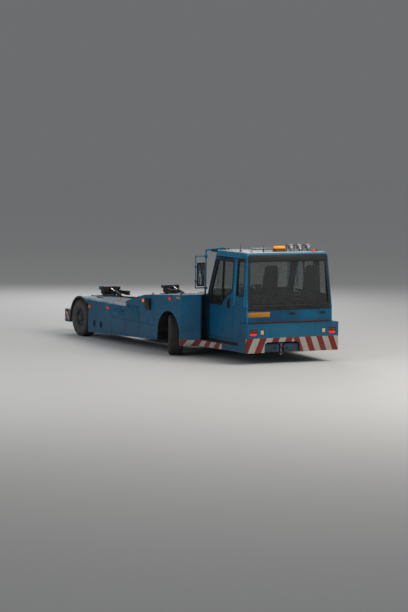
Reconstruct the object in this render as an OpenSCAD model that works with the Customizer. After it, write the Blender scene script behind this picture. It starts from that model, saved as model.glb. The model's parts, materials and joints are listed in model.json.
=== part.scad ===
// Towbarless aircraft pushback tractor: a cab at one end, a wide body over the
// steered axle and two long arms that end in free wheels, with a gap between
// the arms for an aircraft's nose gear. Millimetres, +X towards the cab end,
// +Z up, origin on the ground under the middle of the machine.
// A name that ends in _t is a distance back from the cab bumper's face, one
// that ends in _y is a distance from the middle plane, and _z is a height.

/* [Overall] */
// Length from the cab bumper's face to the arm ends
total_len = 10170; // [9900:10:10500]
// Width over the body sides
body_w = 4380; // [4340:10:4460]
// Height of the body's lower edge above the ground
sill_z = 380; // [340:10:420]

/* [Wide body] */
// Gap between the cab's deck wall and the wide body
cab_gap = 60; // [55:1:70]
// Length of the wide body, up to where the arms begin
body_len = 3420; // [3370:10:3470]
// Height of the seam between the frame and the deck body
seam_z = 780; // [740:10:820]
// Height of the deck at its cab end
deck_high_z = 1770; // [1740:10:1800]
// Height of the deck where it starts to bend down
deck_bend_z = 1620; // [1600:10:1650]
// Body's front wall to the bend of the deck
deck_bend_run = 2170; // [2160:10:2220]
// Height of the knee in the deck's fall to the arms
deck_knee_z = 1510; // [1480:10:1540]
// Body's front wall to that knee
deck_knee_run = 2740; // [2670:10:2820]
// Height of the deck just before the arms
deck_low_z = 1350; // [1320:10:1380]
// How far each flared front corner reaches ahead of the body's front wall
flare_ahead = 230; // [180:10:250]
// Distance of that tip from the middle plane
flare_y = 1680; // [1660:10:1720]
// Length of a flared corner's face along the machine
flare_len = 250; // [200:10:300]
// Radius of the front wheel arches
arch_r = 660; // [650:5:665]
// Depth of the wheel bays, as the inner wall's distance from the middle plane
arch_in_y = 1300; // [1250:10:1320]
// Body's front wall to the front axle
front_axle_run = 740; // [730:5:760]
// Half width of the engine bay
bay_y = 1000; // [900:10:1100]
// Body's front wall to the cab-side edge of the engine hood
hood_run = 880; // [850:10:920]
// Length of the engine hood
hood_len = 1240; // [1140:10:1270]
// Thickness of the engine hood
hood_th = 45; // [35:1:55]
// Width of the ledge that carries the hood
ledge_w = 50; // [40:1:60]
// Number of louvres in each bank of the hood
louvre_count = 9; // [5:1:11]
// Length of the engine block
engine_len = 1000; // [800:10:1040]
// Width of the engine block
engine_w = 820; // [600:10:1000]
// Height of the engine block
engine_h = 900; // [600:10:1000]

/* [Arms] */
// Height of the arms' top
arm_top_z = 1230; // [1200:10:1240]
// Height of the arms' lower edge beside the rear wheels
arm_low_z = 190; // [180:5:220]
// Half width of the gap between the arms
gap_y = 800; // [780:10:840]
// Outer side of the inner beams, beside the wheels
beam_y = 1620; // [1600:10:1640]
// Arm ends to the rear wheels' centre
rear_axle_from_end = 1070; // [1040:10:1090]
// Radius inside each rear fender
fender_r = 620; // [610:5:630]
// Thickness of the fender's sheet
fender_th = 30; // [20:1:40]
// Outer edge of the rear fenders
fender_y = 2150; // [2100:10:2190]
// Length of the bumpers on the arm ends
arm_bumper_len = 370; // [340:10:380]
// Height of the arm bumpers
arm_bumper_h = 390; // [350:10:400]

/* [Wheels] */
// Outer diameter of the tyres
tyre_d = 1150; // [1130:10:1160]
// Width of the tyres
tyre_w = 420; // [400:10:430]
// Diameter of the rims
rim_d = 572; // [560:1:590]
// Width of the rims
rim_w = 350; // [330:5:360]
// Distance of the front wheels' middles from the middle plane
front_track_y = 1940; // [1930:5:1950]
// Distance of the rear wheels' middles from the middle plane
rear_track_y = 1975; // [1965:5:1980]
// Distance from a kingpin out to its wheel's middle
scrub = 60; // [50:2:64]
// Angle at which the front wheels are parked
steer_park = 27; // [0:1:30]
// Diameter of the wheel spindles
spindle_d = 120; // [110:2:130]
// Diameter of the kingpins
kingpin_d = 90; // [80:2:100]
// Number of hand holes in a rim's disc
hand_holes = 8; // [6:1:10]

/* [Cab] */
// Half width of the cab below the windows
cab_y = 1375; // [1365:5:1385]
// How far each side leans in at the roof
tumblehome = 80; // [60:5:100]
// Bumper face to the cab's end wall
cab_end_t = 200; // [195:5:210]
// How far the end wall leans in at the roof
end_rake = 170; // [150:5:190]
// Length of the cab from its end wall to its deck wall
cab_len = 2220; // [2210:5:2240]
// How far the deck wall leans in at the roof
deck_rake = 400; // [360:10:420]
// Height of the cab's lower edge
cab_low_z = 560; // [550:5:570]
// Height from which the end wall and the sides lean in
belt_z = 1540; // [1520:10:1560]
// Height from which the deck wall leans in
knee_z = 1850; // [1830:10:1870]
// Height of the joint between walls and roof
roof_z = 2900; // [2890:5:2910]
// Height of the roof's top
crown_z = 3060; // [3050:10:3080]
// Radius of the roof's edges
roof_r = 120; // [100:5:140]
// Thickness of the cab's walls and doors
wall = 60; // [50:1:66]
// Thickness of the panes
pane = 8; // [6:1:10]
// Height of the large windows' upper edge
glass_top_z = 2830; // [2800:5:2840]

/* [Doors] */
// Cab's end wall to the doors' free edge
door_from_end = 780; // [760:10:800]
// Gap round the doors
door_gap = 14; // [13:1:18]
// Height of the doors' lower edge
door_low_z = 640; // [636:1:650]
// Height of the doors' upper edge
door_top_z = 2860; // [2840:5:2865]
// Width of the doors' window frames
door_frame = 70; // [60:5:80]
// Heights of the two hinges of each door
hinge_zs = [760, 1400]; // [700:10:1420]

/* [Bumper and skirts] */
// Half width of the cab bumper
bumper_y = 1490; // [1480:5:1500]
// Height of the bumper's lower edge
bumper_low_z = 335; // [325:5:345]
// Height of the bumper's top
bumper_top_z = 1120; // [1100:5:1130]
// Thickness of the bumper's front
bumper_th = 180; // [170:5:185]
// Length of the bumper's returns along the cab
return_len = 450; // [430:5:470]
// Side of the coupling cut-out on the left
notch_y0 = -910; // [-930:5:-890]
// Side of the coupling cut-out on the right
notch_y1 = 220; // [200:5:240]
// Height of the coupling cut-out's top
notch_top_z = 620; // [610:5:640]
// Height of the skirts' top
skirt_top_z = 500; // [490:5:520]
// Thickness of the skirts
skirt_th = 50; // [40:5:60]
// Radius of the tow coupling's pin hole
tow_hole_r = 26; // [22:1:30]

/* [Clamps and cradle] */
// Arm ends to the clamp towers' pivot
clamp_from_end = 970; // [950:10:990]
// Height of the clamp towers' pivot above the arms
clamp_rise = 90; // [88:1:100]
// Distance of the towers' middles from the middle plane
clamp_y = 1100; // [1095:5:1110]
// Length of the swinging clamp arms
clamp_arm_len = 780; // [740:10:790]
// Height of the cradle's tray above the ground
tray_z = 150; // [140:5:180]
// End of the wide body to the cradle's pivot
cradle_back = 180; // [160:10:200]
// Height of the cradle's pivot
cradle_z = 640; // [620:10:660]
// Length of the cradle's tray
tray_len = 1500; // [1400:10:1600]
// Half width of the cradle
cradle_y = 730; // [700:5:740]

/* [Hidden] */
$fn = 64;

half_w = body_w / 2;
hub_z = tyre_d / 2;
// Distances back from the cab bumper's face, from the cab towards the arm ends
cab_deck_t = cab_end_t + cab_len;
door_free_t = cab_end_t + door_from_end;
body_front_t = cab_deck_t + cab_gap;
flare_t = body_front_t - flare_ahead;
front_axle_t = body_front_t + front_axle_run;
hood_t0 = body_front_t + hood_run;
hood_t1 = hood_t0 + hood_len;
deck_bend_t = body_front_t + deck_bend_run;
deck_knee_t = body_front_t + deck_knee_run;
body_end_t = body_front_t + body_len;
rear_axle_t = total_len - rear_axle_from_end;
arm_bumper_t = total_len - arm_bumper_len;
clamp_t = total_len - clamp_from_end;
cradle_t = body_end_t + cradle_back;
// Running clearance of pins and shafts in their bores, per side
run_gap = 0.05;
// Clearance between curved faces that lie against each other
seat_gap = 0.3;
// Gap between the ears and the eye of a hinge, along its pin
hinge_ear_gap = 5;
// Overrun of a cutting shape past the face that it cuts
over = 10;

// Colours
blue = [0.02, 0.36, 0.58];
black = [0.06, 0.06, 0.07];
dark = [0.15, 0.15, 0.16];
steel = [0.55, 0.57, 0.6];
red = [0.7, 0.05, 0.05];
amber = [0.95, 0.5, 0.05];
pale = [0.9, 0.9, 0.85];
glass = [0.25, 0.32, 0.34, 0.5];

// Place along x of a point t behind the cab bumper's face
function at(t) = total_len / 2 - t;

// Points [t, y] of one side, with their mirror images, as an x-y outline
function outline(pts) = concat(
    [for (p = pts) [at(p[0]), p[1]]],
    [for (i = [len(pts) - 1:-1:0]) [at(pts[i][0]), -pts[i][1]]]);

// Points [t, z] as an x-z outline
function side_view(pts) = [for (p = pts) [at(p[0]), p[1]]];

// Points on a round corner of radius r about x, y, from angle a0 to a1
function corner(x, y, r, a0, a1, n = 6) =
    [for (i = [0:n]) let (a = a0 + (a1 - a0) * i / n) [x + r * cos(a), y + r * sin(a)]];

// A drawing in x-z made into a plate from y0 to y1
module along_y(y0, y1) {
    translate([0, y1, 0]) rotate([90, 0, 0]) linear_extrude(y1 - y0) children();
}

// A drawing in y-z made into a plate from x0 to x1
module along_x(x0, x1) {
    translate([x0, 0, 0]) rotate([90, 0, 90]) linear_extrude(x1 - x0) children();
}

// A box between the distances t0 and t1, the sides y0 and y1 and two heights
module block(t0, t1, y0, y1, z0, z1) {
    translate([at(t1), y0, z0]) cube([t1 - t0, y1 - y0, z1 - z0]);
}

// Round bar along y between y0 and y1, with its centre at t, z
module bar_y(t, z, r, y0, y1) {
    translate([at(t), y1, z]) rotate([90, 0, 0]) cylinder(r = r, h = y1 - y0);
}

// Round bar between two points
module bar(p, q, r) {
    d = q - p;
    translate(p) rotate([0, acos(d[2] / norm(d)), atan2(d[1], d[0])])
        cylinder(r = r, h = norm(d));
}

// The drawn left-hand shape, and its mirror image on the right
module both() {
    children();
    mirror([0, 1, 0]) children();
}

// The drawn left-hand shape on the left (side -1) or mirrored to the right (side 1)
module on_side(side) {
    if (side < 0) children();
    else mirror([0, 1, 0]) children();
}

// WIDE BODY AND ARMS

deck_fall = (deck_high_z - deck_bend_z) / (deck_bend_t - body_front_t);

// Height of the straight part of the deck at distance t
function deck_at(t) = deck_high_z - (t - body_front_t) * deck_fall;

throat_t = body_end_t + 100;
bay_t0 = hood_t0 + ledge_w;
bay_t1 = hood_t1 - ledge_w;
bay_floor_z = sill_z + 80;

// Height of the lower edge, which falls from the front wheels to the rear ones
arch_end_t = front_axle_t + arch_r;
function sill_at(t) = sill_z - (sill_z - arm_low_z) * (t - arch_end_t) / (wheel_bay_t - arch_end_t);

// Plan of the wide body with its flared front corners
module body_plan() {
    polygon(outline([[body_front_t, flare_y - wall], [flare_t + wall / 2, flare_y - wall],
        [flare_t, flare_y], [flare_t + flare_len, half_w], [body_end_t, half_w]]));
}

// Plan of the frame below the top of the skirts, without the flared corners
module low_plan() {
    polygon(outline([[body_front_t, half_w - 4 * skirt_th], [front_axle_t, half_w - 4 * skirt_th],
        [front_axle_t, half_w], [body_end_t, half_w]]));
}

// What the front wheels, the throat and the engine bay take out of the body
module body_cuts() {
    arch_z = hub_z + 25;
    both() {
        bar_y(front_axle_t, arch_z, arch_r, -half_w - over, -arch_in_y);
        block(front_axle_t - arch_r, front_axle_t + arch_r, -half_w - over, -arch_in_y,
            sill_z - over, arch_z);
    }
    translate([at(throat_t), 0, 0]) cylinder(r = gap_y, h = deck_high_z + over);
    block(bay_t0, bay_t1, -bay_y, bay_y, bay_floor_z, deck_high_z);
}

// Half height of the front axle's beam, and half width of the tunnel it lies in
axle_half = 105;
tunnel_half = 160;
// Half width and lower edge of the frame's neck under the cab
neck_y = 950;
neck_low_z = 360;

module main_frame() {
    color(blue) difference() {
        union() {
            translate([0, 0, skirt_top_z]) linear_extrude(seam_z - skirt_top_z) body_plan();
            translate([0, 0, sill_z]) linear_extrude(skirt_top_z - sill_z) low_plan();
            block(bumper_th, body_front_t + over, -neck_y, neck_y, neck_low_z, cab_low_z);
            along_y(-half_w, half_w) polygon(side_view([[arch_end_t, sill_z], [arch_end_t, seam_z],
                [body_end_t, seam_z], [body_end_t, sill_at(body_end_t)]]));
        }
        body_cuts();
        block(front_axle_t - tunnel_half, front_axle_t + tunnel_half, -arch_in_y - over,
            arch_in_y + over, sill_z - over, hub_z + axle_half);
    }
}

module engine() {
    color(dark) translate([at((bay_t0 + bay_t1) / 2) - engine_len / 2, -engine_w / 2, bay_floor_z])
        cube([engine_len, engine_w, engine_h]);
}

// Cut of the deck's end above the arms
deck_end_cut = 60;

module deck_body() {
    color(blue) difference() {
        intersection() {
            translate([0, 0, seam_z]) linear_extrude(deck_high_z) body_plan();
            along_y(-half_w, half_w) polygon(side_view([[flare_t - over, seam_z],
                [flare_t - over, deck_at(flare_t - over)], [deck_bend_t, deck_bend_z],
                [deck_knee_t, deck_knee_z], [body_end_t - deck_end_cut, deck_low_z],
                [body_end_t, deck_low_z - deck_end_cut], [body_end_t, seam_z]]));
        }
        body_cuts();
        hood_slab(hood_gap, deck_high_z);
    }
    color(blue) hood_hinges() hood_ears();
}

// Slab along the sloping deck where the hood lies, with a gap all round it
module hood_slab(gap, top) {
    t0 = hood_t0 - gap;
    t1 = hood_t1 + gap;
    along_y(-bay_y - ledge_w - gap, bay_y + ledge_w + gap) polygon(side_view([
        [t0, deck_at(t0) - hood_th], [t0, top > 0 ? top : deck_at(t0)],
        [t1, top > 0 ? top : deck_at(t1)], [t1, deck_at(t1) - hood_th]]));
}

// Gap round the hood, and its hinges: their place, pin, eye, leaf and lengths
hood_gap = 8;
hood_hinge_y = 700;
hood_pin_r = 6;
hood_eye_r = 10;
hood_leaf = [60, 9];
hood_axis_h = 16;
hood_eye_len = 60;
hood_ear_len = 20;

// Stands at each hood hinge, with x up the deck's slope and z square to it
module hood_hinges() {
    t = hood_t0 - hood_gap / 2;
    for (y = [-hood_hinge_y, hood_hinge_y])
        translate([at(t), y, deck_at(t)]) rotate([0, -atan(deck_fall), 0]) children();
}

// A round eye from y0 to y1 on the hinge's axis, and the leaf that holds it
module hood_eye(dir, y0, y1, r) {
    sink = 2;
    translate([0, y1, hood_axis_h]) rotate([90, 0, 0]) cylinder(r = r, h = y1 - y0);
    translate([dir > 0 ? 0 : -hood_leaf[0], y0, -sink]) cube([hood_leaf[0], y1 - y0, hood_leaf[1] + sink]);
}

// The deck's half of a hood hinge: two ears and the pin between them
module hood_ears() {
    inner = hood_eye_len / 2 + hinge_ear_gap;
    for (y = [-inner - hood_ear_len, inner]) hood_eye(1, y, y + hood_ear_len, hood_eye_r);
    translate([0, inner + hood_ear_len / 2, hood_axis_h]) rotate([90, 0, 0])
        cylinder(r = hood_pin_r, h = 2 * inner + hood_ear_len);
}

module engine_hood() {
    pitch = (bay_t1 - bay_t0 - 2 * ledge_w) / louvre_count;
    color(blue) difference() {
        union() {
            hood_slab(0, 0);
            hood_hinges() hood_eye(-1, -hood_eye_len / 2, hood_eye_len / 2, hood_eye_r);
        }
        for (i = [0:louvre_count - 1], s = [-1, 1])
            let (t = bay_t0 + ledge_w + (i + 0.5) * pitch, mid = s * bay_y / 2)
                block(t - pitch / 4, t + pitch / 4, mid - bay_y / 2 + ledge_w,
                    mid + bay_y / 2 - ledge_w, seam_z, deck_high_z + over);
        hood_hinges() translate([0, hood_eye_len, hood_axis_h]) rotate([90, 0, 0])
            cylinder(r = hood_pin_r + run_gap, h = 2 * hood_eye_len);
    }
}

// Edges of the arms' side boxes and of their slope down to the bumpers
wheel_bay_t = rear_axle_t - fender_r - fender_th - over;
arm_slope_t = arm_bumper_t - 380;
arm_rise_t = arm_bumper_t - 500;
// Footholds in the arms' sides: distances, and their length, depth and height
step_ts = [total_len - 2620, total_len - 2170];
step_size = [120, 40, 170];
arm_end_z = sill_z + arm_bumper_h;
pivot_pin_r = 40;
cradle_cheek = 30;

module arm(side) {
    chamfer = 50;
    color(blue) on_side(side) {
        difference() {
            union() {
                along_y(-beam_y, -gap_y) polygon(side_view([[body_end_t, sill_at(body_end_t)],
                    [body_end_t, arm_top_z], [arm_slope_t, arm_top_z], [arm_bumper_t, arm_end_z],
                    [arm_bumper_t, sill_z], [arm_rise_t, arm_low_z], [wheel_bay_t, arm_low_z]]));
                intersection() {
                    along_x(at(wheel_bay_t), at(body_end_t)) polygon([[-beam_y, 0], [-half_w, 0],
                        [-half_w, arm_top_z - chamfer], [-half_w + chamfer, arm_top_z],
                        [-beam_y, arm_top_z]]);
                    along_y(-half_w, -beam_y) polygon(side_view([[body_end_t, sill_at(body_end_t)],
                        [body_end_t, arm_top_z], [wheel_bay_t, arm_top_z], [wheel_bay_t, arm_low_z]]));
                }
            }
            for (t = step_ts)
                block(t - step_size[0] / 2, t + step_size[0] / 2, -half_w - over,
                    -half_w + step_size[1], sill_z + 20, sill_z + 20 + step_size[2]);
        }
        bar_y(cradle_t, cradle_z, pivot_pin_r + 30, -gap_y - over, -cradle_y - 5);
        bar_y(cradle_t, cradle_z, pivot_pin_r, -gap_y - over, -cradle_y + cradle_cheek + 5);
    }
}

module fenders() {
    color(blue) both() difference() {
        bar_y(rear_axle_t, hub_z, fender_r + fender_th, -fender_y, -beam_y);
        bar_y(rear_axle_t, hub_z, fender_r, -fender_y - over, -beam_y + over);
        block(rear_axle_t - hub_z - fender_r, rear_axle_t + hub_z + fender_r, -half_w,
            -beam_y + over, -hub_z, hub_z - 40);
    }
}

// Cut of the bumpers' corners
bumper_cut = 55;

module arm_bumpers() {
    color(blue) both() translate([0, 0, sill_z]) linear_extrude(arm_bumper_h)
        polygon([[at(arm_bumper_t), -gap_y - bumper_cut], [at(arm_bumper_t), -half_w],
            [at(total_len - bumper_cut), -half_w], [at(total_len), -half_w + bumper_cut],
            [at(total_len), -gap_y - 2 * bumper_cut], [at(total_len - bumper_cut), -gap_y - bumper_cut]]);
}

// WHEELS AND AXLES

// Rims: inner and outer end of the hub, end of its bore and place of the disc,
// measured outwards from the wheel's middle, and the hub's radius
hub_in = 70;
hub_out = 190;
hub_bore_end = 170;
disc_at = 80;
hub_r = 115;
spindle_r = spindle_d / 2;
kingpin_r = kingpin_d / 2;
kingpin_y = front_track_y - scrub;
// Axle eyes round the kingpins, and the knuckles' ears above and below them
eye_r = 85;
eye_half = 80;
ear_h = 75;
ear_gap = 5;

module stub_axles() {
    color(dark) both() {
        bar_y(rear_axle_t, hub_z, hub_r - 15, -rear_track_y - hub_in + 5, -beam_y);
        bar_y(rear_axle_t, hub_z, spindle_r, -rear_track_y - hub_bore_end + 5, -beam_y);
    }
}

module front_axle() {
    color(dark) difference() {
        union() {
            block(front_axle_t - 80, front_axle_t + 80, -arch_in_y - 200, arch_in_y + 200,
                hub_z - axle_half, hub_z + axle_half);
            block(front_axle_t - 65, front_axle_t + 65, -kingpin_y, kingpin_y,
                hub_z - eye_half, hub_z + eye_half);
            both() translate([at(front_axle_t), -kingpin_y, hub_z - eye_half])
                cylinder(r = eye_r, h = 2 * eye_half);
        }
        both() translate([at(front_axle_t), -kingpin_y, hub_z - eye_half - over])
            cylinder(r = kingpin_r + run_gap, h = 2 * eye_half + 2 * over);
    }
}

// Places a shape drawn at a left kingpin, with its wheel towards -y
module steered(side) {
    translate([at(front_axle_t), side * kingpin_y, hub_z])
        rotate([0, 0, -steer_park]) on_side(side) children();
}

// Places a shape drawn at a left wheel's middle
module at_wheel(front, side) {
    if (front) steered(side) translate([0, -scrub, 0]) children();
    else on_side(side) translate([at(rear_axle_t), -rear_track_y, hub_z]) children();
}

module knuckle(side) {
    plate_y = -eye_r - 7;
    plate_th = 30;
    ear_r = eye_r - 5;
    color(dark) steered(side) {
        cylinder(r = kingpin_r, h = 2 * (eye_half + ear_h), center = true);
        for (z = [-eye_half - ear_h, eye_half + ear_gap]) translate([0, 0, z]) {
            cylinder(r = ear_r, h = ear_h - ear_gap);
            translate([-ear_r, plate_y - plate_th, 0])
                cube([2 * ear_r, plate_th - plate_y, ear_h - ear_gap]);
        }
        translate([-ear_r, plate_y - plate_th, -eye_half - ear_h])
            cube([2 * ear_r, plate_th, 2 * (eye_half + ear_h)]);
        translate([0, plate_y, 0]) rotate([90, 0, 0])
            cylinder(r = spindle_r, h = scrub + hub_bore_end - 5 + plate_y);
    }
}

module tyre(front, side) {
    r = tyre_d / 2;
    w = tyre_w / 2;
    bead = rim_d / 2 + seat_gap;
    flange = rim_w / 2 - 11;
    color(black) at_wheel(front, side) rotate([90, 0, 0]) rotate_extrude($fn = 96)
        polygon([[bead, -flange], [bead + 22, -flange], [bead + 45, -flange - 14],
            [r - 190, -w + 6], [r - 130, -w], [r - 60, -w + 4], [r - 22, -w + 22],
            [r - 8, -w + 48], [r, -w + 90], [r, w - 90], [r - 8, w - 48],
            [r - 22, w - 22], [r - 60, w - 4], [r - 130, w], [r - 190, w - 6],
            [bead + 45, flange + 14], [bead + 22, flange], [bead, flange]]);
}

module rim(front, side) {
    r = rim_d / 2;
    w = rim_w / 2;
    color(blue) at_wheel(front, side) difference() {
        rotate([90, 0, 0]) rotate_extrude() polygon([[spindle_r + run_gap, hub_in],
            [hub_r, hub_in], [hub_r, disc_at], [r - 70, disc_at - 10], [r - 24, disc_at - 10],
            [r - 24, -w], [r + 18, -w], [r + 18, -w + 10], [r, -w + 10], [r, w - 10],
            [r + 18, w - 10], [r + 18, w], [r - 14, w], [r - 24, disc_at + 60],
            [r - 24, disc_at], [r - 70, disc_at], [hub_r, disc_at + 30],
            [hub_r, disc_at + 60], [hub_r - 20, hub_out], [0, hub_out], [0, hub_bore_end],
            [spindle_r + run_gap, hub_bore_end]]);
        for (i = [0:hand_holes - 1]) rotate([0, i * 360 / hand_holes, 0])
            translate([(hub_r + r - 50) / 2, 0, 0]) rotate([90, 0, 0]) cylinder(r = 24, h = w);
    }
}

// CAB

// How far the end wall, the deck wall and a side lean in at height z
function end_lean(z) = max(0, z - belt_z) / (crown_z - belt_z) * end_rake;
function deck_lean(z) = max(0, z - knee_z) / (crown_z - knee_z) * deck_rake;
function side_lean(z) = max(0, z - belt_z) / (crown_z - belt_z) * tumblehome;

// Points [t, z] on the cab's ends, moved in by d
function end_pt(z, d = 0) = [cab_end_t + end_lean(z) + d, z];
function deck_pt(z, d = 0) = [cab_deck_t - deck_lean(z) - d, z];
// Half width of the cab at height z, moved in by d
function side_at(z, d = 0) = cab_y - side_lean(z) - d;

// Upright band of the cab's end view between the insets d0 and d1 from its side
module side_band(d0, d1) {
    polygon([for (z = [cab_low_z, belt_z, roof_z]) [-side_at(z, d0), z],
        for (z = [roof_z, belt_z, cab_low_z]) [-side_at(z, d1), z]]);
}

// The whole end view of the cab below the roof
module end_view() {
    polygon([for (z = [cab_low_z, belt_z, roof_z]) [-side_at(z), z],
        for (z = [roof_z, belt_z, cab_low_z]) [side_at(z), z]]);
}

// Window outline in the end view, between two heights, m inside the cab's sides
module wide_window(z0, z1, m) {
    polygon([[-side_at(z0, m), z0], [-side_at(z1, m), z1], [side_at(z1, m), z1],
        [side_at(z0, m), z0]]);
}

// Windows: sills of the two wide ones, and their distance from the cab's sides
end_glass_z = belt_z + 60;
deck_glass_z = knee_z + 60;
window_edge = 85;
cab_mid_t = (cab_end_t + cab_deck_t) / 2;

// The cab's end zone and deck zone, through the drawn end view
module end_zone() { along_x(at(cab_mid_t), at(0)) children(); }
module deck_zone() { along_x(at(cab_deck_t + over), at(cab_mid_t)) children(); }

module end_window() { end_zone() wide_window(end_glass_z, glass_top_z, window_edge); }
module deck_window() { deck_zone() wide_window(deck_glass_z, glass_top_z, window_edge); }

module cab_end_wall() {
    color(blue) difference() {
        intersection() {
            along_y(-cab_y, cab_y) polygon(side_view([end_pt(cab_low_z), end_pt(belt_z),
                end_pt(roof_z), end_pt(roof_z, wall), end_pt(belt_z, wall), end_pt(cab_low_z, wall)]));
            end_zone() end_view();
        }
        end_window();
    }
}

module cab_deck_wall() {
    color(blue) difference() {
        intersection() {
            along_y(-cab_y, cab_y) polygon(side_view([deck_pt(cab_low_z), deck_pt(knee_z),
                deck_pt(roof_z), deck_pt(roof_z, wall), deck_pt(knee_z, wall), deck_pt(cab_low_z, wall)]));
            deck_zone() end_view();
        }
        deck_window();
    }
}

door_hinge_t = cab_deck_t - wall - 40;

// Door hinges: radii of pin and eye, length of a leaf, height of the moving eye,
// distance of the pin from the cab's side and height of the fixed ears
hinge_pin_r = 8;
hinge_r = 16;
hinge_arm = 60;
hinge_h = 70;
hinge_out = 20;
hinge_ear_h = 25;
// Door handle: distance, height, length and how far it stands out
handle_t = door_free_t + 215;
handle_z = belt_z - 40;
handle_len = 180;
handle_out = 50;
handle_sunk = 20;

// Stands at a left door's hinge line, at the foot of its hinge k
module at_hinge(k) {
    translate([at(door_hinge_t + door_gap / 2), -cab_y - hinge_out, hinge_zs[k]]) children();
}

// One leaf of a hinge: an eye of height h with an arm that lies on the cab's side
module hinge_leaf(dir, h) {
    cylinder(r = hinge_r, h = h);
    translate([dir > 0 ? 0 : -hinge_arm, 0, 0]) cube([hinge_arm, hinge_out, h]);
}

// The fixed ears of a side's hinges, with their pins
module hinge_ears() {
    for (k = [0, 1]) at_hinge(k) {
        for (z = [-hinge_ear_h - hinge_ear_gap, hinge_h + hinge_ear_gap])
            translate([0, 0, z]) hinge_leaf(-1, hinge_ear_h);
        translate([0, 0, -hinge_ear_h]) cylinder(r = hinge_pin_r, h = hinge_h + 2 * hinge_ear_h);
    }
}

// The moving eyes of a door's hinges
module hinge_eyes() {
    for (k = [0, 1]) at_hinge(k) difference() {
        hinge_leaf(1, hinge_h);
        translate([0, 0, -over]) cylinder(r = hinge_pin_r + run_gap, h = hinge_h + 2 * over);
    }
}

// Outline of a door, grown by g
module door_outline(g) {
    polygon(side_view([[door_free_t - g, door_low_z - g], [door_free_t - g, door_top_z + g],
        [door_hinge_t + g - deck_lean(door_top_z + g), door_top_z + g],
        [door_hinge_t + g, knee_z], [door_hinge_t + g, door_low_z - g]]));
}

// Outline of a door's window: its sill rises in a slant near the free edge
module door_window() {
    f = door_frame;
    top = door_top_z - f;
    high = knee_z + 110;
    polygon(side_view([[door_hinge_t - f, belt_z], [door_free_t + 660, belt_z],
        [door_free_t + 370, high - 160], [door_free_t + f, high], [door_free_t + f, top],
        [door_hinge_t - f - deck_lean(top), top], [door_hinge_t - f, knee_z]]));
}

module quarter_window() {
    low = knee_z + 10;
    top = glass_top_z - 20;
    polygon(side_view([end_pt(low, 185), [door_free_t - 160, low], [door_free_t - 160, top],
        end_pt(top, 90)]));
}

// Left side of the cab between the insets d0 and d1 from its outer face
module side_slab(d0, d1) {
    along_x(at(cab_deck_t + over), at(0)) side_band(d0, d1);
}

module cab_side(side) {
    color(blue) on_side(side) {
        difference() {
            intersection() {
                side_slab(0, wall);
                along_y(-cab_y, 0) polygon(side_view([end_pt(cab_low_z, wall),
                    end_pt(belt_z, wall), end_pt(roof_z, wall), deck_pt(roof_z, wall),
                    deck_pt(knee_z, wall), deck_pt(cab_low_z, wall)]));
            }
            along_y(-cab_y - over, 0) door_outline(door_gap);
            along_y(-cab_y - over, 0) quarter_window();
        }
        hinge_ears();
    }
}

module door(side) {
    color(blue) on_side(side) {
        difference() {
            intersection() {
                side_slab(0, wall);
                along_y(-cab_y, 0) door_outline(0);
            }
            along_y(-cab_y - over, 0) door_window();
        }
        hinge_eyes();
        for (z = [handle_z + 10, handle_z + handle_len - 35])
            block(handle_t, handle_t + 30, -cab_y - handle_out + 15, -cab_y + handle_sunk, z, z + 25);
        block(handle_t, handle_t + 30, -cab_y - handle_out, -cab_y - handle_out + 20, handle_z,
            handle_z + handle_len);
    }
}

module door_glass(side) {
    color(glass) on_side(side) intersection() {
        side_slab(wall / 2 - pane / 2, wall / 2 + pane / 2);
        along_y(-cab_y, 0) door_window();
    }
}

module cab_glass() {
    color(glass) {
        intersection() {
            end_window();
            along_y(-cab_y, cab_y) polygon(side_view([end_pt(belt_z, wall / 2), end_pt(roof_z, wall / 2),
                end_pt(roof_z, wall / 2 + pane), end_pt(belt_z, wall / 2 + pane)]));
        }
        intersection() {
            deck_window();
            along_y(-cab_y, cab_y) polygon(side_view([deck_pt(knee_z, wall / 2), deck_pt(roof_z, wall / 2),
                deck_pt(roof_z, wall / 2 + pane), deck_pt(knee_z, wall / 2 + pane)]));
        }
        both() intersection() {
            side_slab(wall / 2 - pane / 2, wall / 2 + pane / 2);
            along_y(-cab_y, 0) quarter_window();
        }
    }
}

// End view of the roof, d inside its outer face
module roof_end_view(d) {
    y = side_at(roof_z) - d;
    r = roof_r - d;
    polygon([[-y, roof_z], for (p = corner(-y + r, crown_z - d - r, r, 180, 90)) p,
        for (p = corner(y - r, crown_z - d - r, r, 90, 0)) p, [y, roof_z]]);
}

// Side view of the roof, d inside its outer face
module roof_side_view(d) {
    r = roof_r - d;
    e = at(end_pt(roof_z)[0]) - d;
    k = at(deck_pt(roof_z)[0]) + d;
    polygon([[k, roof_z], for (p = corner(k + r, crown_z - d - r, r, 180, 90)) p,
        for (p = corner(e - r, crown_z - d - r, r, 90, 0)) p, [e, roof_z]]);
}

module cab_roof() {
    color(blue) difference() {
        intersection() {
            along_x(at(cab_deck_t), at(0)) roof_end_view(0);
            along_y(-cab_y, cab_y) roof_side_view(0);
        }
        intersection() {
            translate([0, 0, -0.01]) along_x(at(cab_deck_t), at(0)) roof_end_view(wall);
            translate([0, 0, -0.01]) along_y(-cab_y, cab_y) roof_side_view(wall);
        }
    }
}

// Floor's top and the platform that carries the seats
floor_z = cab_low_z + wall;
platform_h = 630;
platform_z = floor_z + platform_h;
platform_run = 1040;
platform_t = cab_end_t + platform_run;
platform_y = cab_y - wall - door_gap - tumblehome;

module cab_floor() {
    color(dark) {
        block(cab_end_t + wall, cab_deck_t - wall, -cab_y + wall, cab_y - wall, cab_low_z, floor_z);
        block(cab_end_t + wall, platform_t, -platform_y, platform_y, floor_z, platform_z);
    }
}

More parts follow.
